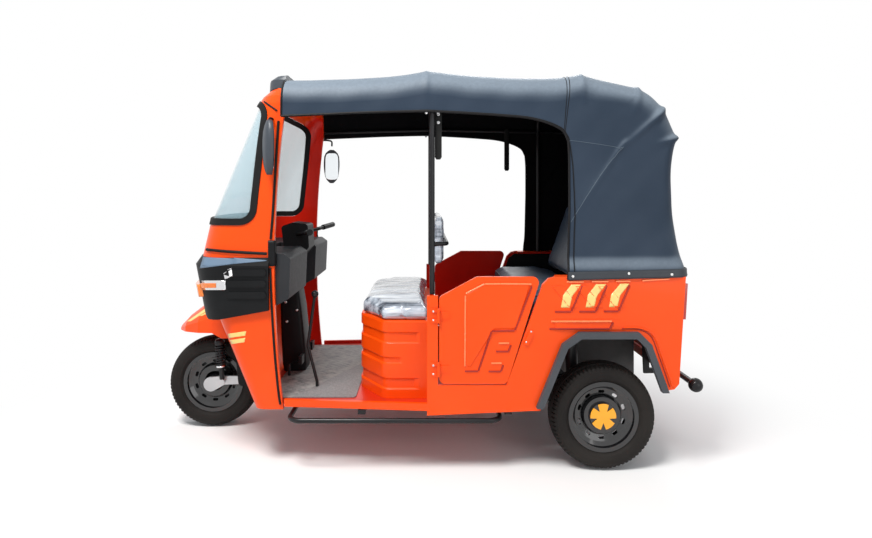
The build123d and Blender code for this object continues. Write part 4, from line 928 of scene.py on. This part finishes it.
# Cushions across the vehicle: name, outline, half width, finish, slot, pressure, cap, lowest place, seed,
# crease size, crease depth and voxel size
BENCH = ("seat", "blue_vinyl", 4.0, 0.014)
CUSHIONS = [
    ("bench_cushion",
     [(-0.512, 0.735), (-0.508, 0.800), (-0.540, 0.818), (-0.780, 0.819), (-0.915, 0.790), (-0.915, 0.7225),
      (-0.520, 0.7225)],
     0.492, *BENCH, 0.7135, 11, 0.16, 0.0022, 0.008),
    ("bench_backrest",
     [(-0.866, 0.836), (-1.012, 1.250), (-1.078, 1.226), (-0.936, 0.800)],
     0.492, *BENCH, None, 12, 0.16, 0.0022, 0.008),
    ("driver_backrest",
     [(-0.106, 0.935), (-0.111, 1.196), (-0.1455, 1.200), (-0.1455, 0.940)],
     0.290, "driver_seat", "grey_vinyl", 3.0, 0.009, None, 14, 0.08, 0.0026, 0.0065),
]
CUSHION_PLAN = [
    (-0.072, 0.496), (0.156, 0.496), (0.294, 0.300),
    (0.294, -0.300), (0.156, -0.496), (-0.072, -0.496),
]
CUSHION_LOW, CUSHION_HIGH = 0.690, 0.742
CROWN_FROM, CROWN_RISE = 0.72, 0.020
# Welts: cushion, front and rear corner (x, z), half width
WELTS = [
    ("bench_cushion", (-0.500, 0.812), (-0.905, 0.812), 0.494),
    ("bench_backrest", (-0.868, 0.850), (-1.008, 1.258), 0.494),
]

seat_box()
pads = {}
for name, outline, half, look, slot, pressure, cap, base, seed, size, depth, voxel in CUSHIONS:
    ends = [[(x, y, z + DATUM) for x, z in outline] for y in (-half, half)]
    pad = prism(name, *ends, look, slot, 0.014)
    base = None if base is None else base + DATUM
    swell(pad, pressure, cap, base, voxel)
    crumple(pad, size, depth, seed, base)
    pads[name] = pad
ends = [[(x, y, z + DATUM) for x, y in CUSHION_PLAN] for z in (CUSHION_LOW, CUSHION_HIGH)]
driver = prism("driver_cushion", *ends, "driver_seat", "grey_vinyl", 0.013)
swell(driver, 4.0, 0.020, BOX_TOP + DATUM + 0.001)
for v in driver.data.vertices:
    if v.co.z > CROWN_FROM + DATUM:
        away = max(abs(v.co.y) / 0.49, abs(v.co.x - 0.10) / 0.19)
        v.co.z += CROWN_RISE * max(0.0, 1.0 - away ** 2.2)
crumple(driver, 0.10, 0.0034, 13, BOX_TOP + DATUM)
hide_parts("bench_seat")
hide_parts("driver_seat")
for name, (xa, za), (xb, zb), half in WELTS:
    loop = [(xa, -half, za), (xa, half, za), (xb, half, zb), (xb, -half, zb)]
    run = []
    for i in range(4):
        a, b = Vector(loop[i]), Vector(loop[(i + 1) % 4])
        run += [a.lerp(b, t / 30) + Vector((0, 0, DATUM)) for t in range(30)]
    skin = on_skin(pads[name], run, 0.0006)
    line(name + "_welt", [skin], 0.0032, "welt", cyclic=True)

# Tyres: half width and radius over the tread, rim flange radius, bead, and how the shoulder falls
TYRE_HALF, TYRE_R, FLANGE_R = 0.0725, 0.254, 0.1695
BEAD_HALF, BEAD_R = 0.0526, 0.1528
SHOULDER_IN, SHOULDER_DOWN = 0.010, 0.012
SIDE_RINGS = ((0.187, 0.0035), (0.226, 0.003))
TYRE_STEPS, GROOVE_HALF = 288, 0.0026


def arc(a, b, c, n):
    """Points of the circle through three (offset, radius) pairs."""
    ax, ay, bx, by, cx, cy = *a, *b, *c
    d = 2 * (ax * (by - cy) + bx * (cy - ay) + cx * (ay - by))
    aa, bb, cc = ax * ax + ay * ay, bx * bx + by * by, cx * cx + cy * cy
    ox = (aa * (by - cy) + bb * (cy - ay) + cc * (ay - by)) / d
    oy = (aa * (cx - bx) + bb * (ax - cx) + cc * (bx - ax)) / d
    r = math.hypot(ax - ox, ay - oy)
    t0, t1, t2 = (math.atan2(p - oy, q - ox) for q, p in (a, b, c))
    if not (t0 < t1 < t2 or t0 > t1 > t2):
        t0, t2 = (v % math.tau for v in (t0, t2))
    turns = [t0 + (t2 - t0) * i / n for i in range(n + 1)]
    return [(ox + r * math.cos(t), oy + r * math.sin(t)) for t in turns]


def tyre_section():
    """The tyre's outline from one bead over the tread to the other, as (offset, radius)."""
    tread_half = TYRE_HALF - SHOULDER_IN
    bulge = (TYRE_HALF, (FLANGE_R + TYRE_R) / 2 - 0.004)
    side = arc((BEAD_HALF, FLANGE_R + 0.003), bulge, (tread_half, TYRE_R - SHOULDER_DOWN), 15)
    side = [(o + (0.0013 if any(abs(r - at) < w for at, w in SIDE_RINGS) else 0.0), r) for o, r in side]
    crown = [tread_half - tread_half * i / 14 for i in range(1, 15)]
    crown = [(o, TYRE_R - SHOULDER_DOWN * (o / tread_half) ** 2.4) for o in crown]
    half = [(BEAD_HALF, BEAD_R)] + side + crown
    return half + [(-o, r) for o, r in reversed(half[:-1])]


def tread_cut(i, a, r):
    """How deep the tread is cut at step i round the tyre, at offset a and radius r."""
    block_end = i % 4 == 0
    cut = 0.0
    if r > TYRE_R - 0.0135:
        if abs(a - 0.0135) < GROOVE_HALF or abs(a - 0.036) < GROOVE_HALF:
            cut = 0.0055
        elif a > 0.0385 and block_end:
            cut = 0.0050
        elif a < 0.011 and i % 8 == 4:
            cut = 0.0030
    if a > 0.055 and r - cut > 0.232 and block_end:
        cut += 0.0025
    return cut


def tyre(name, body, x, y, cad_node):
    section = tyre_section()
    verts, faces = [], []
    n = len(section)
    for i in range(TYRE_STEPS):
        t = math.tau * i / TYRE_STEPS
        k = (i + 1) % TYRE_STEPS
        for o, r in section:
            r -= tread_cut(i, abs(o), r)
            verts.append((x + r * math.sin(t), y + o, AXLE_Z + r * math.cos(t)))
        for j in range(n - 1):
            faces.append((i * n + j, i * n + j + 1, k * n + j + 1, k * n + j))
        faces.append((i * n + n - 1, i * n, k * n, k * n + n - 1))
    o = make(name, verts, faces, "tyre", "tyre_rubber", body, smooth=False)
    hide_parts(cad_node)


# The star on a rear hub's cap: outer face of the cap, petals and the rings of its rounded edge
HUB_CAP_Y = REAR_WHEEL_Y + 0.057 - 0.024 + 0.016 + 0.0025
PETALS, PETAL_R, NOTCH_R, PETAL_HALF = 5, 0.0630, 0.0300, (-24.5, -14, 0, 14, 24.5)
STAR_RINGS = ((1.0, 0.0), (0.985, 0.0016), (0.95, 0.0024))


def hub_star(name, body, side):
    bm = bmesh.new()
    centre = Vector((REAR_AXLE_X, side * HUB_CAP_Y, AXLE_Z))
    outline = []
    for i in range(PETALS):
        t = math.pi / 2 + math.tau * i / PETALS
        outline += [(PETAL_R, t + math.radians(a)) for a in PETAL_HALF] + [(NOTCH_R, t + math.radians(36))]
    rings = []
    for f, lift in STAR_RINGS:
        spots = [(math.cos(t) * r * f, side * lift, math.sin(t) * r * f) for r, t in outline]
        rings.append([bm.verts.new(centre + Vector(p)) for p in spots])
    hub = bm.verts.new(centre + Vector((0, side * 0.0036, 0)))
    n = len(outline)
    for lo, hi in zip(rings, rings[1:]):
        for q in range(n):
            r = (q + 1) % n
            bm.faces.new((lo[q], lo[r], hi[r], hi[q]))
    for q in range(n):
        bm.faces.new((rings[-1][q], rings[-1][(q + 1) % n], hub))
    from_bmesh(name, bm, "yellow", body, smooth=False)


tyre("tyre_front", "front_wheel", FRONT_AXLE_X, 0.0, "front_tyre")
tyre("tyre_rear_left", "rear_wheel_left", REAR_AXLE_X, REAR_WHEEL_Y, "rear_left_tyre")
tyre("tyre_rear_right", "rear_wheel_right", REAR_AXLE_X, -REAR_WHEEL_Y, "rear_right_tyre")
hub_star("hub_star_left", "rear_wheel_left", 1)
hub_star("hub_star_right", "rear_wheel_right", -1)

# Marks and trim, laid on the CAD surfaces where the photograph shows them
SECOND_LOOK = Vector((0, -0.4, 0))


def hit(cad_node, u, v):
    """Where the line of sight through a picture point meets a node, with the normal there. One that misses
    is tried again from a place nearer to the node."""
    d = Vector(((CENTRE_X - u) / FOCAL_PX, -1.0, (HORIZON_Y - v) / FOCAL_PX))
    for start in (CAM, CAM + SECOND_LOOK):
        ok, place, normal, _ = nodes[cad_node].ray_cast(start, d)
        if ok:
            return place, normal
    return None


PATCH_PARTS, PATCH_SUNK = 8, 0.0004


def patches(name, cad_node, quads, look, slot, lift):
    """Four-cornered marks in picture points, laid on a CAD node and mirrored to the far side."""
    verts, faces = [], []
    shares = [i / PATCH_PARTS for i in range(PATCH_PARTS + 1)]

    def add(rows):
        v, f = grid(rows)
        faces.extend(tuple(q + len(verts) for q in face) for face in f)
        verts.extend(v)

    for a, b, c, d in quads:
        rows = []
        for s in shares:
            row = []
            for t in shares:
                u, v = (
                    (a[q] * (1 - t) + b[q] * t) * (1 - s) + (d[q] * (1 - t) + c[q] * t) * s
                    for q in (0, 1)
                )
                row.append(hit(cad_node, u, v))
            rows.append(row)
        for side in (1, -1):
            high, low = [
                [[both(side, p + m * out) for p, m in row] for row in rows] for out in (lift, -PATCH_SUNK)
            ]
            add(high)
            rims = [
                (g[0], [r[-1] for r in g], g[-1][::-1], [r[0] for r in g][::-1]) for g in (high, low)
            ]
            for pair in zip(*rims):
                add(pair)
    return weld(make(name, verts, faces, look, slot))


def traced(name, cad_node, runs, r, look, sink, body="body", sides=(1, -1)):
    """Thin beads and wires along picture points, sunk by a share of r in a CAD node and mirrored."""
    lines = []
    for run in runs:
        hits = [hit(cad_node, p.x, p.y) for p in curve_points([(u, v, 0) for u, v in run], 4)]
        for side in sides:
            lines.append([both(side, h[0] + h[1] * r * (1 - sink)) for h in hits if h])
    return line(name, lines, r, look, body)


def heads(name, cad_node, spots, r):
    """Screw heads at picture points on a CAD node, mirrored."""
    hits = [hit(cad_node, u, v) for u, v in spots]
    places = [(both(s, p), both(s, m)) for p, m in hits for s in (1, -1)]
    return screws(name, places, r, "zinc")


# Picture points of the painted stripes
SLASH_MARKS = [
    [(571.4, 284.5), (581.2, 284.5), (572.6, 295.5), (563.2, 295.2)],
    [(563.2, 295.2), (572.6, 295.5), (569.4, 307.6), (560.9, 307.6)],
    [(596.4, 284.1), (606.4, 284.1), (597.4, 295.3), (587.9, 294.8)],
    [(587.9, 294.8), (597.4, 295.3), (594.0, 307.3), (585.7, 307.3)],
    [(620.5, 283.6), (629.6, 283.6), (620.4, 295.0), (611.2, 294.6)],
    [(611.2, 294.6), (620.4, 295.0), (617.2, 307.0), (609.1, 307.0)],
]
SHIELD_MARKS = [
    [(228.0, 333.8), (246.2, 331.2), (245.4, 335.6), (229.0, 338.0)],
    [(229.8, 340.2), (245.4, 337.8), (244.4, 342.2), (231.6, 344.2)],
]
BEAK_MARKS = [
    [(205.5, 308.5), (209.0, 309.5), (190.5, 321.5), (187.0, 321.5)],
    [(210.5, 310.0), (212.8, 310.8), (202.0, 316.0), (199.5, 316.0)],
]

# Picture points of the pressed shapes' lit and shaded edges
ARCH_BEAD = [
    (622.0, 328.6), (636.0, 328.8), (646.0, 332.0), (652.8, 339.0),
    (659.0, 356.0), (665.5, 374.0), (671.2, 391.0),
]
DOOR_LIGHT = [
    [(464.9, 366.0), (465.2, 330.0), (465.6, 295.5)],
    [(466.0, 293.6), (475.0, 289.0), (484.3, 284.2)],
    [(485.0, 284.2), (508.0, 284.1), (531.2, 284.2)],
    [(498.5, 343.2), (509.0, 343.1)],
    [(491.2, 363.2), (501.4, 363.1)],
]
DOOR_SHADE = [
    [(464.9, 371.2), (478.0, 371.2)],
    [(478.4, 370.6), (491.4, 331.6)],
    [(491.8, 331.1), (514.4, 330.6)],
    [(514.9, 329.8), (531.6, 286.4)],
    [(496.0, 351.4), (508.2, 351.4)],
    [(508.4, 351.0), (510.8, 345.0)],
    [(488.6, 371.4), (500.6, 371.4)],
    [(500.9, 371.0), (503.2, 365.0)],
]
QUARTER_LIGHT = [
    [(566.6, 281.8), (583.4, 281.8)],
    [(591.6, 281.4), (608.0, 281.4)],
    [(615.8, 281.2), (630.0, 281.2)],
    [(551.0, 321.4), (611.4, 321.2)],
    [(642.0, 280.6), (655.0, 279.6), (669.0, 279.0)],
]
QUARTER_SHADE = [
    [(555.0, 311.7), (571.0, 311.7)],
    [(571.4, 311.0), (582.0, 286.2)],
    [(579.2, 311.6), (595.4, 311.6)],
    [(595.8, 311.0), (606.8, 285.4)],
    [(603.8, 311.3), (618.2, 311.3)],
    [(618.6, 310.7), (629.3, 285.2)],
    [(549.5, 328.8), (609.4, 328.8)],
    [(610.0, 328.2), (613.0, 322.2)],
]

# Picture points of the rubbers, the painted sky reflection on the cladding's upper facets, the clips and the
# side lamps
NOSE_RUBBER = [(207.5, 249.6), (222.0, 251.0), (240.0, 252.2), (255.0, 253.0), (267.0, 253.6)]
DOOR_EDGE = [(270.4, 268.0), (271.6, 300.0), (273.2, 330.0), (275.6, 362.0), (278.6, 392.0), (280.4, 404.0)]
PILLAR_RUBBER = [(278.6, 121.0), (276.8, 150.0), (275.0, 180.0), (272.8, 215.0), (270.8, 239.0)]
HEADER_GAP = [(264.6, 101.8), (268.0, 104.2), (272.5, 107.4), (277.0, 110.6)]
CLAD_FACET = [
    [(203.6, 255.6), (234.0, 257.8), (234.0, 264.0), (199.8, 268.4)],
    [(234.0, 257.8), (266.5, 260.2), (266.5, 261.0), (234.0, 264.0)],
]
CLIP_BLOCK = [[(268.4, 240.4), (275.0, 240.4), (275.0, 266.0), (268.4, 266.0)]]
LAMP_HOUSING = [[(199.2, 280.4), (226.0, 280.4), (226.0, 289.8), (200.4, 289.8)]]
LAMP_LENS = [[(201.4, 283.0), (216.4, 283.0), (216.4, 287.6), (201.8, 287.6)]]

patches("quarter_stripes", "side_left", SLASH_MARKS, "cream", "orange_paint", 0.0009)
patches("shield_stripes", "cowl", SHIELD_MARKS, "cream", "orange_paint", 0.0009)
patches("beak_stripes", "front_beak", BEAK_MARKS, "cream", "orange_paint", 0.0012)
arch_light = [(u + 2.2, v - 1.0) for u, v in ARCH_BEAD]
# Painted shade line along the lower edge of the wheel arch bead
traced("arch_shade_line", "side_left", [ARCH_BEAD], 0.0030, "shade_paint", 0.75)
traced("arch_bead", "side_left", [arch_light], 0.0042, "orange", 0.55)
# Painted highlight lines and painted shade lines on the doors' pressed shapes
for tag, side in (("left", 1), ("right", -1)):
    for kind, runs, look, sink in (
        ("light", DOOR_LIGHT, "edge_light", 0.62),
        ("shade", DOOR_SHADE, "shade_paint", 0.80),
    ):
        name = f"door_{kind}_edges_{tag}"
        traced(name, "door_left", runs, 0.0042, look, sink, "door_" + tag, (side,))
# Painted highlight lines and painted shade lines on the quarter panel's pressed shapes
traced("quarter_light_edges", "side_left", QUARTER_LIGHT, 0.0046, "edge_light", 0.62)
traced("quarter_shade_edges", "side_left", QUARTER_SHADE, 0.0044, "shade_paint", 0.80)
traced("nose_rubber", "cowl", [NOSE_RUBBER], 0.0070, "rubber", 0.35)
traced("door_edge_rubber", "cowl", [DOOR_EDGE], 0.0055, "rubber", 0.4)
traced("pillar_rubber", "cowl", [PILLAR_RUBBER], 0.0062, "rubber", 0.45)
traced("header_gap_seal", "cowl", [HEADER_GAP], 0.0045, "black_trim", 0.6)
# Painted sky reflection on the cladding's upper facets
patches("cladding_painted_sheen", "front_cladding", CLAD_FACET, "facet", "black_plastic", 0.0012)
patches("clip_blocks", "cowl", CLIP_BLOCK, "black_plastic", "black_plastic", 0.008)
patches("marker_housings", "front_cladding", LAMP_HOUSING, "chrome", "chrome_trim", 0.0050)
patches("marker_lenses", "front_cladding", LAMP_LENS, "amber", "amber_plastic", 0.0085)

# Spring leg of the front wheel: pieces turned about the line from its foot to its head
LEG_FOOT, LEG_HEAD = Vector((1.084, 0.113, 0.260 + DATUM)), Vector((1.1016, 0.113, 0.5063 + DATUM))
LEG = (LEG_HEAD - LEG_FOOT).normalized()
LEG_A = LEG.orthogonal().normalized()
LEG_B = LEG.cross(LEG_A)
# Sections as (distance from the foot, radius)
DAMPER = [
    (0.010, 0.0), (0.010, 0.012), (0.014, 0.0145), (0.080, 0.0145), (0.082, 0.0275),
    (0.088, 0.0285), (0.093, 0.0275), (0.094, 0.014), (0.150, 0.0135), (0.205, 0.0135),
    (0.206, 0.0265), (0.2255, 0.0265), (0.234, 0.022), (0.240, 0.012), (0.240, 0.0),
]
SPRING_SEAT = [(0.0835, 0.0285), (0.0845, 0.0292), (0.0915, 0.0292), (0.0925, 0.0285)]
COIL_TURNS, COIL_STEPS, COIL_FROM, COIL_RUN, COIL_R, COIL_WIRE = 7.5, 240, 0.098, 0.104, 0.0245, 0.0040


def round_leg(s, r, t):
    """The place at a distance from the foot, a radius and an angle round the leg."""
    return LEG_FOOT + LEG * s + (LEG_A * math.cos(t) + LEG_B * math.sin(t)) * r


def lathe(name, section, look, slot):
    rows = [[round_leg(s, r, t) for t in turn(36)] for s, r in section]
    return weld(make(name, *grid(rows), look, slot, "steering"))


damper = lathe("front_damper", DAMPER, "black_steel", "black_steel")
lathe("front_spring_seat", SPRING_SEAT, "chrome", "chrome_trim")
coil = [
    round_leg(COIL_FROM + COIL_RUN * i / COIL_STEPS, COIL_R, math.tau * COIL_TURNS * i / COIL_STEPS)
    for i in range(COIL_STEPS + 1)
]
line("front_spring", [coil], COIL_WIRE, "black_steel", "steering", res=3)
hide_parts("front_shock")

# Grab straps: their foot on the pole, width, thickness and upper end
STRAP_Y, STRAP_HALF, STRAP_THICK, STRAP_HIGH = 0.5508, 0.0168, 0.0020, 1.748
STRAP_SCREW_ZS = (1.66, 1.70)


def strap(name, x, side, low, high):
    sway = [
        (0.0, high), (0.0012, high - 0.05), (0.0, high - 0.12),
        (-0.0012, (low + high) / 2), (0.0006, low + 0.06), (0.0, low),
    ]
    spine = curve_points([(x, side * (STRAP_Y + a), z) for a, z in sway], 10)
    rows = []
    for i, p in enumerate(spine):
        f = i / (len(spine) - 1)
        wide, thick = STRAP_HALF * min(1.0, 0.55 + 12 * min(f, 1 - f)), STRAP_THICK
        rib = thick + 0.0004 * math.sin(i * 2.4)
        ring = [
            (-wide, 0.3 * thick), (-wide * 0.8, rib), (0, thick * 0.7), (wide * 0.8, rib),
            (wide, 0.3 * thick), (wide, -0.3 * thick), (wide * 0.8, -thick), (-wide * 0.8, -thick),
            (-wide, -0.3 * thick), (-wide, 0.3 * thick),
        ]
        rows.append([p + Vector((a, side * b, 0)) for a, b in ring])
    verts, faces = grid(rows)
    faces += [tuple(range(len(rows[0]) - 1)), tuple(reversed(last_ring(verts, rows)))]
    return make(name, verts, faces, "rubber", "black_rubber")


strap_screws = []
for name, x, side, low in (("strap_front_left", -0.118, 1, 1.480), ("strap_rear_right", -0.606, -1, 1.466)):
    strap(name, x, side, low + DATUM, STRAP_HIGH + DATUM)
    for z in STRAP_SCREW_ZS:
        strap_screws.append(((x, side * (STRAP_Y + 0.0018), z + DATUM), (0, side, 0)))
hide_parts("grab_straps")
screws("strap_screws", strap_screws, 0.0085, "zinc")

# Small fasteners: picture points, and the two beside each pole
DOOR_SCREWS = [(531.2, 331.6), (526.2, 342.0)]
HINGE_SCREWS = [(433.3, 311.5), (433.3, 320.0), (433.3, 365.6), (433.3, 374.0)]
POLE_X, POLE_SCREW_DX = -0.088, 0.028
heads("latch_screws", "side_left", DOOR_SCREWS, 0.0042)
heads("hinge_screws", "door_hinges", HINGE_SCREWS, 0.0050)
valance_screws = [
    ((POLE_X + dx, side * 0.588, 1.702 + DATUM), (0, side, 0))
    for dx in (POLE_SCREW_DX, -POLE_SCREW_DX)
    for side in (1, -1)
]
screws("valance_screws", valance_screws, 0.0065, "zinc")

# Mirrors: a shell with its glass, turned to the driver
MIRROR_LEVELS = [0.0, 0.04, 0.1, 0.2, 0.35, 0.5, 0.65, 0.8, 0.9, 0.96, 1.0]
SHELL_DEPTH, SHELL_FRONT, SHELL_SIDES, GLASS_SIDES = 0.030, 0.009, 24, 36
GLASS_RINGS = ((0.0085, 0.90), (0.0105, 0.88), (0.0105, 0.0))


def mirror(tag, side, place, facing, half_w, low, high):
    """place and facing are in plan; facing is the way that the glass looks."""
    spot = Vector(place)
    f = Vector(facing).normalized()
    a = Vector((-f.y, f.x))
    shell = []
    for q in MIRROR_LEVELS:
        e = abs(2 * q - 1)
        w = half_w * (1 - 0.75 * e ** 5) * (0.80 + 0.20 * min(1.0, q / 0.5))
        d = SHELL_DEPTH * (1 - 0.55 * e ** 3)
        ring = []
        for t in turn(SHELL_SIDES)[:-1]:
            c, sn = math.cos(t), math.sin(t)
            back = -d * (-sn) ** 0.8 if sn < 0 else SHELL_FRONT * min(1.0, sn * 3)
            p = spot + a * w * math.copysign(abs(c) ** 0.7, c) + f * back
            ring.append((p.x, p.y, low + (high - low) * q + DATUM))
        shell.append(ring + [ring[0]])
    verts, faces = grid(shell)
    faces += [tuple(reversed(range(SHELL_SIDES))), last_ring(verts, shell)]
    piece = make("mirror_shell_" + tag, verts, faces, "mirror_shell", "black_plastic")
    middle, tall = (low + high) / 2, (high - low) / 2
    rings = []
    for out, shrink in GLASS_RINGS:
        ring = []
        for t in turn(GLASS_SIDES):
            c, sn = math.cos(t), math.sin(t)
            p = spot + a * half_w * 0.92 * shrink * math.copysign(abs(c) ** 0.55, c) + f * out
            ring.append((p.x, p.y, middle + DATUM + tall * 0.90 * shrink * math.copysign(abs(sn) ** 0.4, sn)))
        rings.append(ring)
    make("mirror_glass_" + tag, *grid(rings), "mirror", "chrome_trim", smooth=False)
    root_x = max(spot.x, 0.665)
    stalk = [
        (root_x, side * 0.5605, 1.674 + DATUM),
        (root_x, side * 0.584, 1.676 + DATUM),
        (spot.x + 0.004, side * 0.604, 1.672 + DATUM),
        (spot.x, spot.y - f.y * 0.012, 1.640 + DATUM),
    ]
    line("mirror_stalk_" + tag, [curve_points(stalk)], 0.0058, "black_plastic")
    return piece


near_mirror = mirror("left", 1, (0.684, 0.616), (-0.86, -0.50), 0.050, 1.404, 1.664)
mirror("right", -1, (0.588, -0.618), (-0.26, 0.966), 0.054, 1.384, 1.612)
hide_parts("mirrors")

# Cover over the foot of the column: height, rear and front x, half width; the first row is on the mat
COVER_LEVELS = [
    (0.628, 0.752, 0.070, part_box("floor_mat")[1][2]),
    (0.622, 0.757, 0.080, 0.345 + DATUM),
    (0.632, 0.764, 0.086, 0.50 + DATUM),
    (0.648, 0.768, 0.088, 0.66 + DATUM),
    (0.664, 0.772, 0.080, 0.765 + DATUM),
    (0.682, 0.768, 0.066, 0.785 + DATUM),
]
COVER_CORNER_R = 0.020
COVER_BOLTS = [(0.735, 0.0875, 0.700), (0.672, 0.0875, 0.655), (0.728, 0.0870, 0.590)]


def column_cover():
    rows = []
    for x0, x1, half, z in COVER_LEVELS:
        r = COVER_CORNER_R
        near, far = half - r, -half + r
        ring = []
        for cx, cy, t0 in ((x1 - r, near, 0), (x0 + r, near, 90), (x0 + r, far, 180), (x1 - r, far, 270)):
            for t in (math.radians(t0 + q * 22.5) for q in range(5)):
                ring.append((cx + r * math.cos(t), cy + r * math.sin(t), z))
        rows.append(ring + [ring[0]])
    verts, faces = grid(rows)
    faces.append(last_ring(verts, rows))
    make("column_cover", verts, faces, "black_plastic", "dark_plastic")
    bolts = [((x, y, z + DATUM), (0, 1, 0)) for x, y, z in COVER_BOLTS]
    screws("column_cover_bolts", bolts, 0.0080, "zinc")


# Drum inside the front rim: offset from the rim's middle and radius
DRUM = [(-0.030, 0.030), (-0.030, 0.118), (-0.026, 0.124), (0.004, 0.126), (0.006, 0.122), (0.006, 0.060)]

column_cover()
drum_rows = [
    [(FRONT_AXLE_X + r * math.sin(t), dy, AXLE_Z + r * math.cos(t)) for t in turn(64)] for dy, r in DRUM
]
make("front_drum", *grid(drum_rows), "black_steel", "black_steel", "front_wheel")
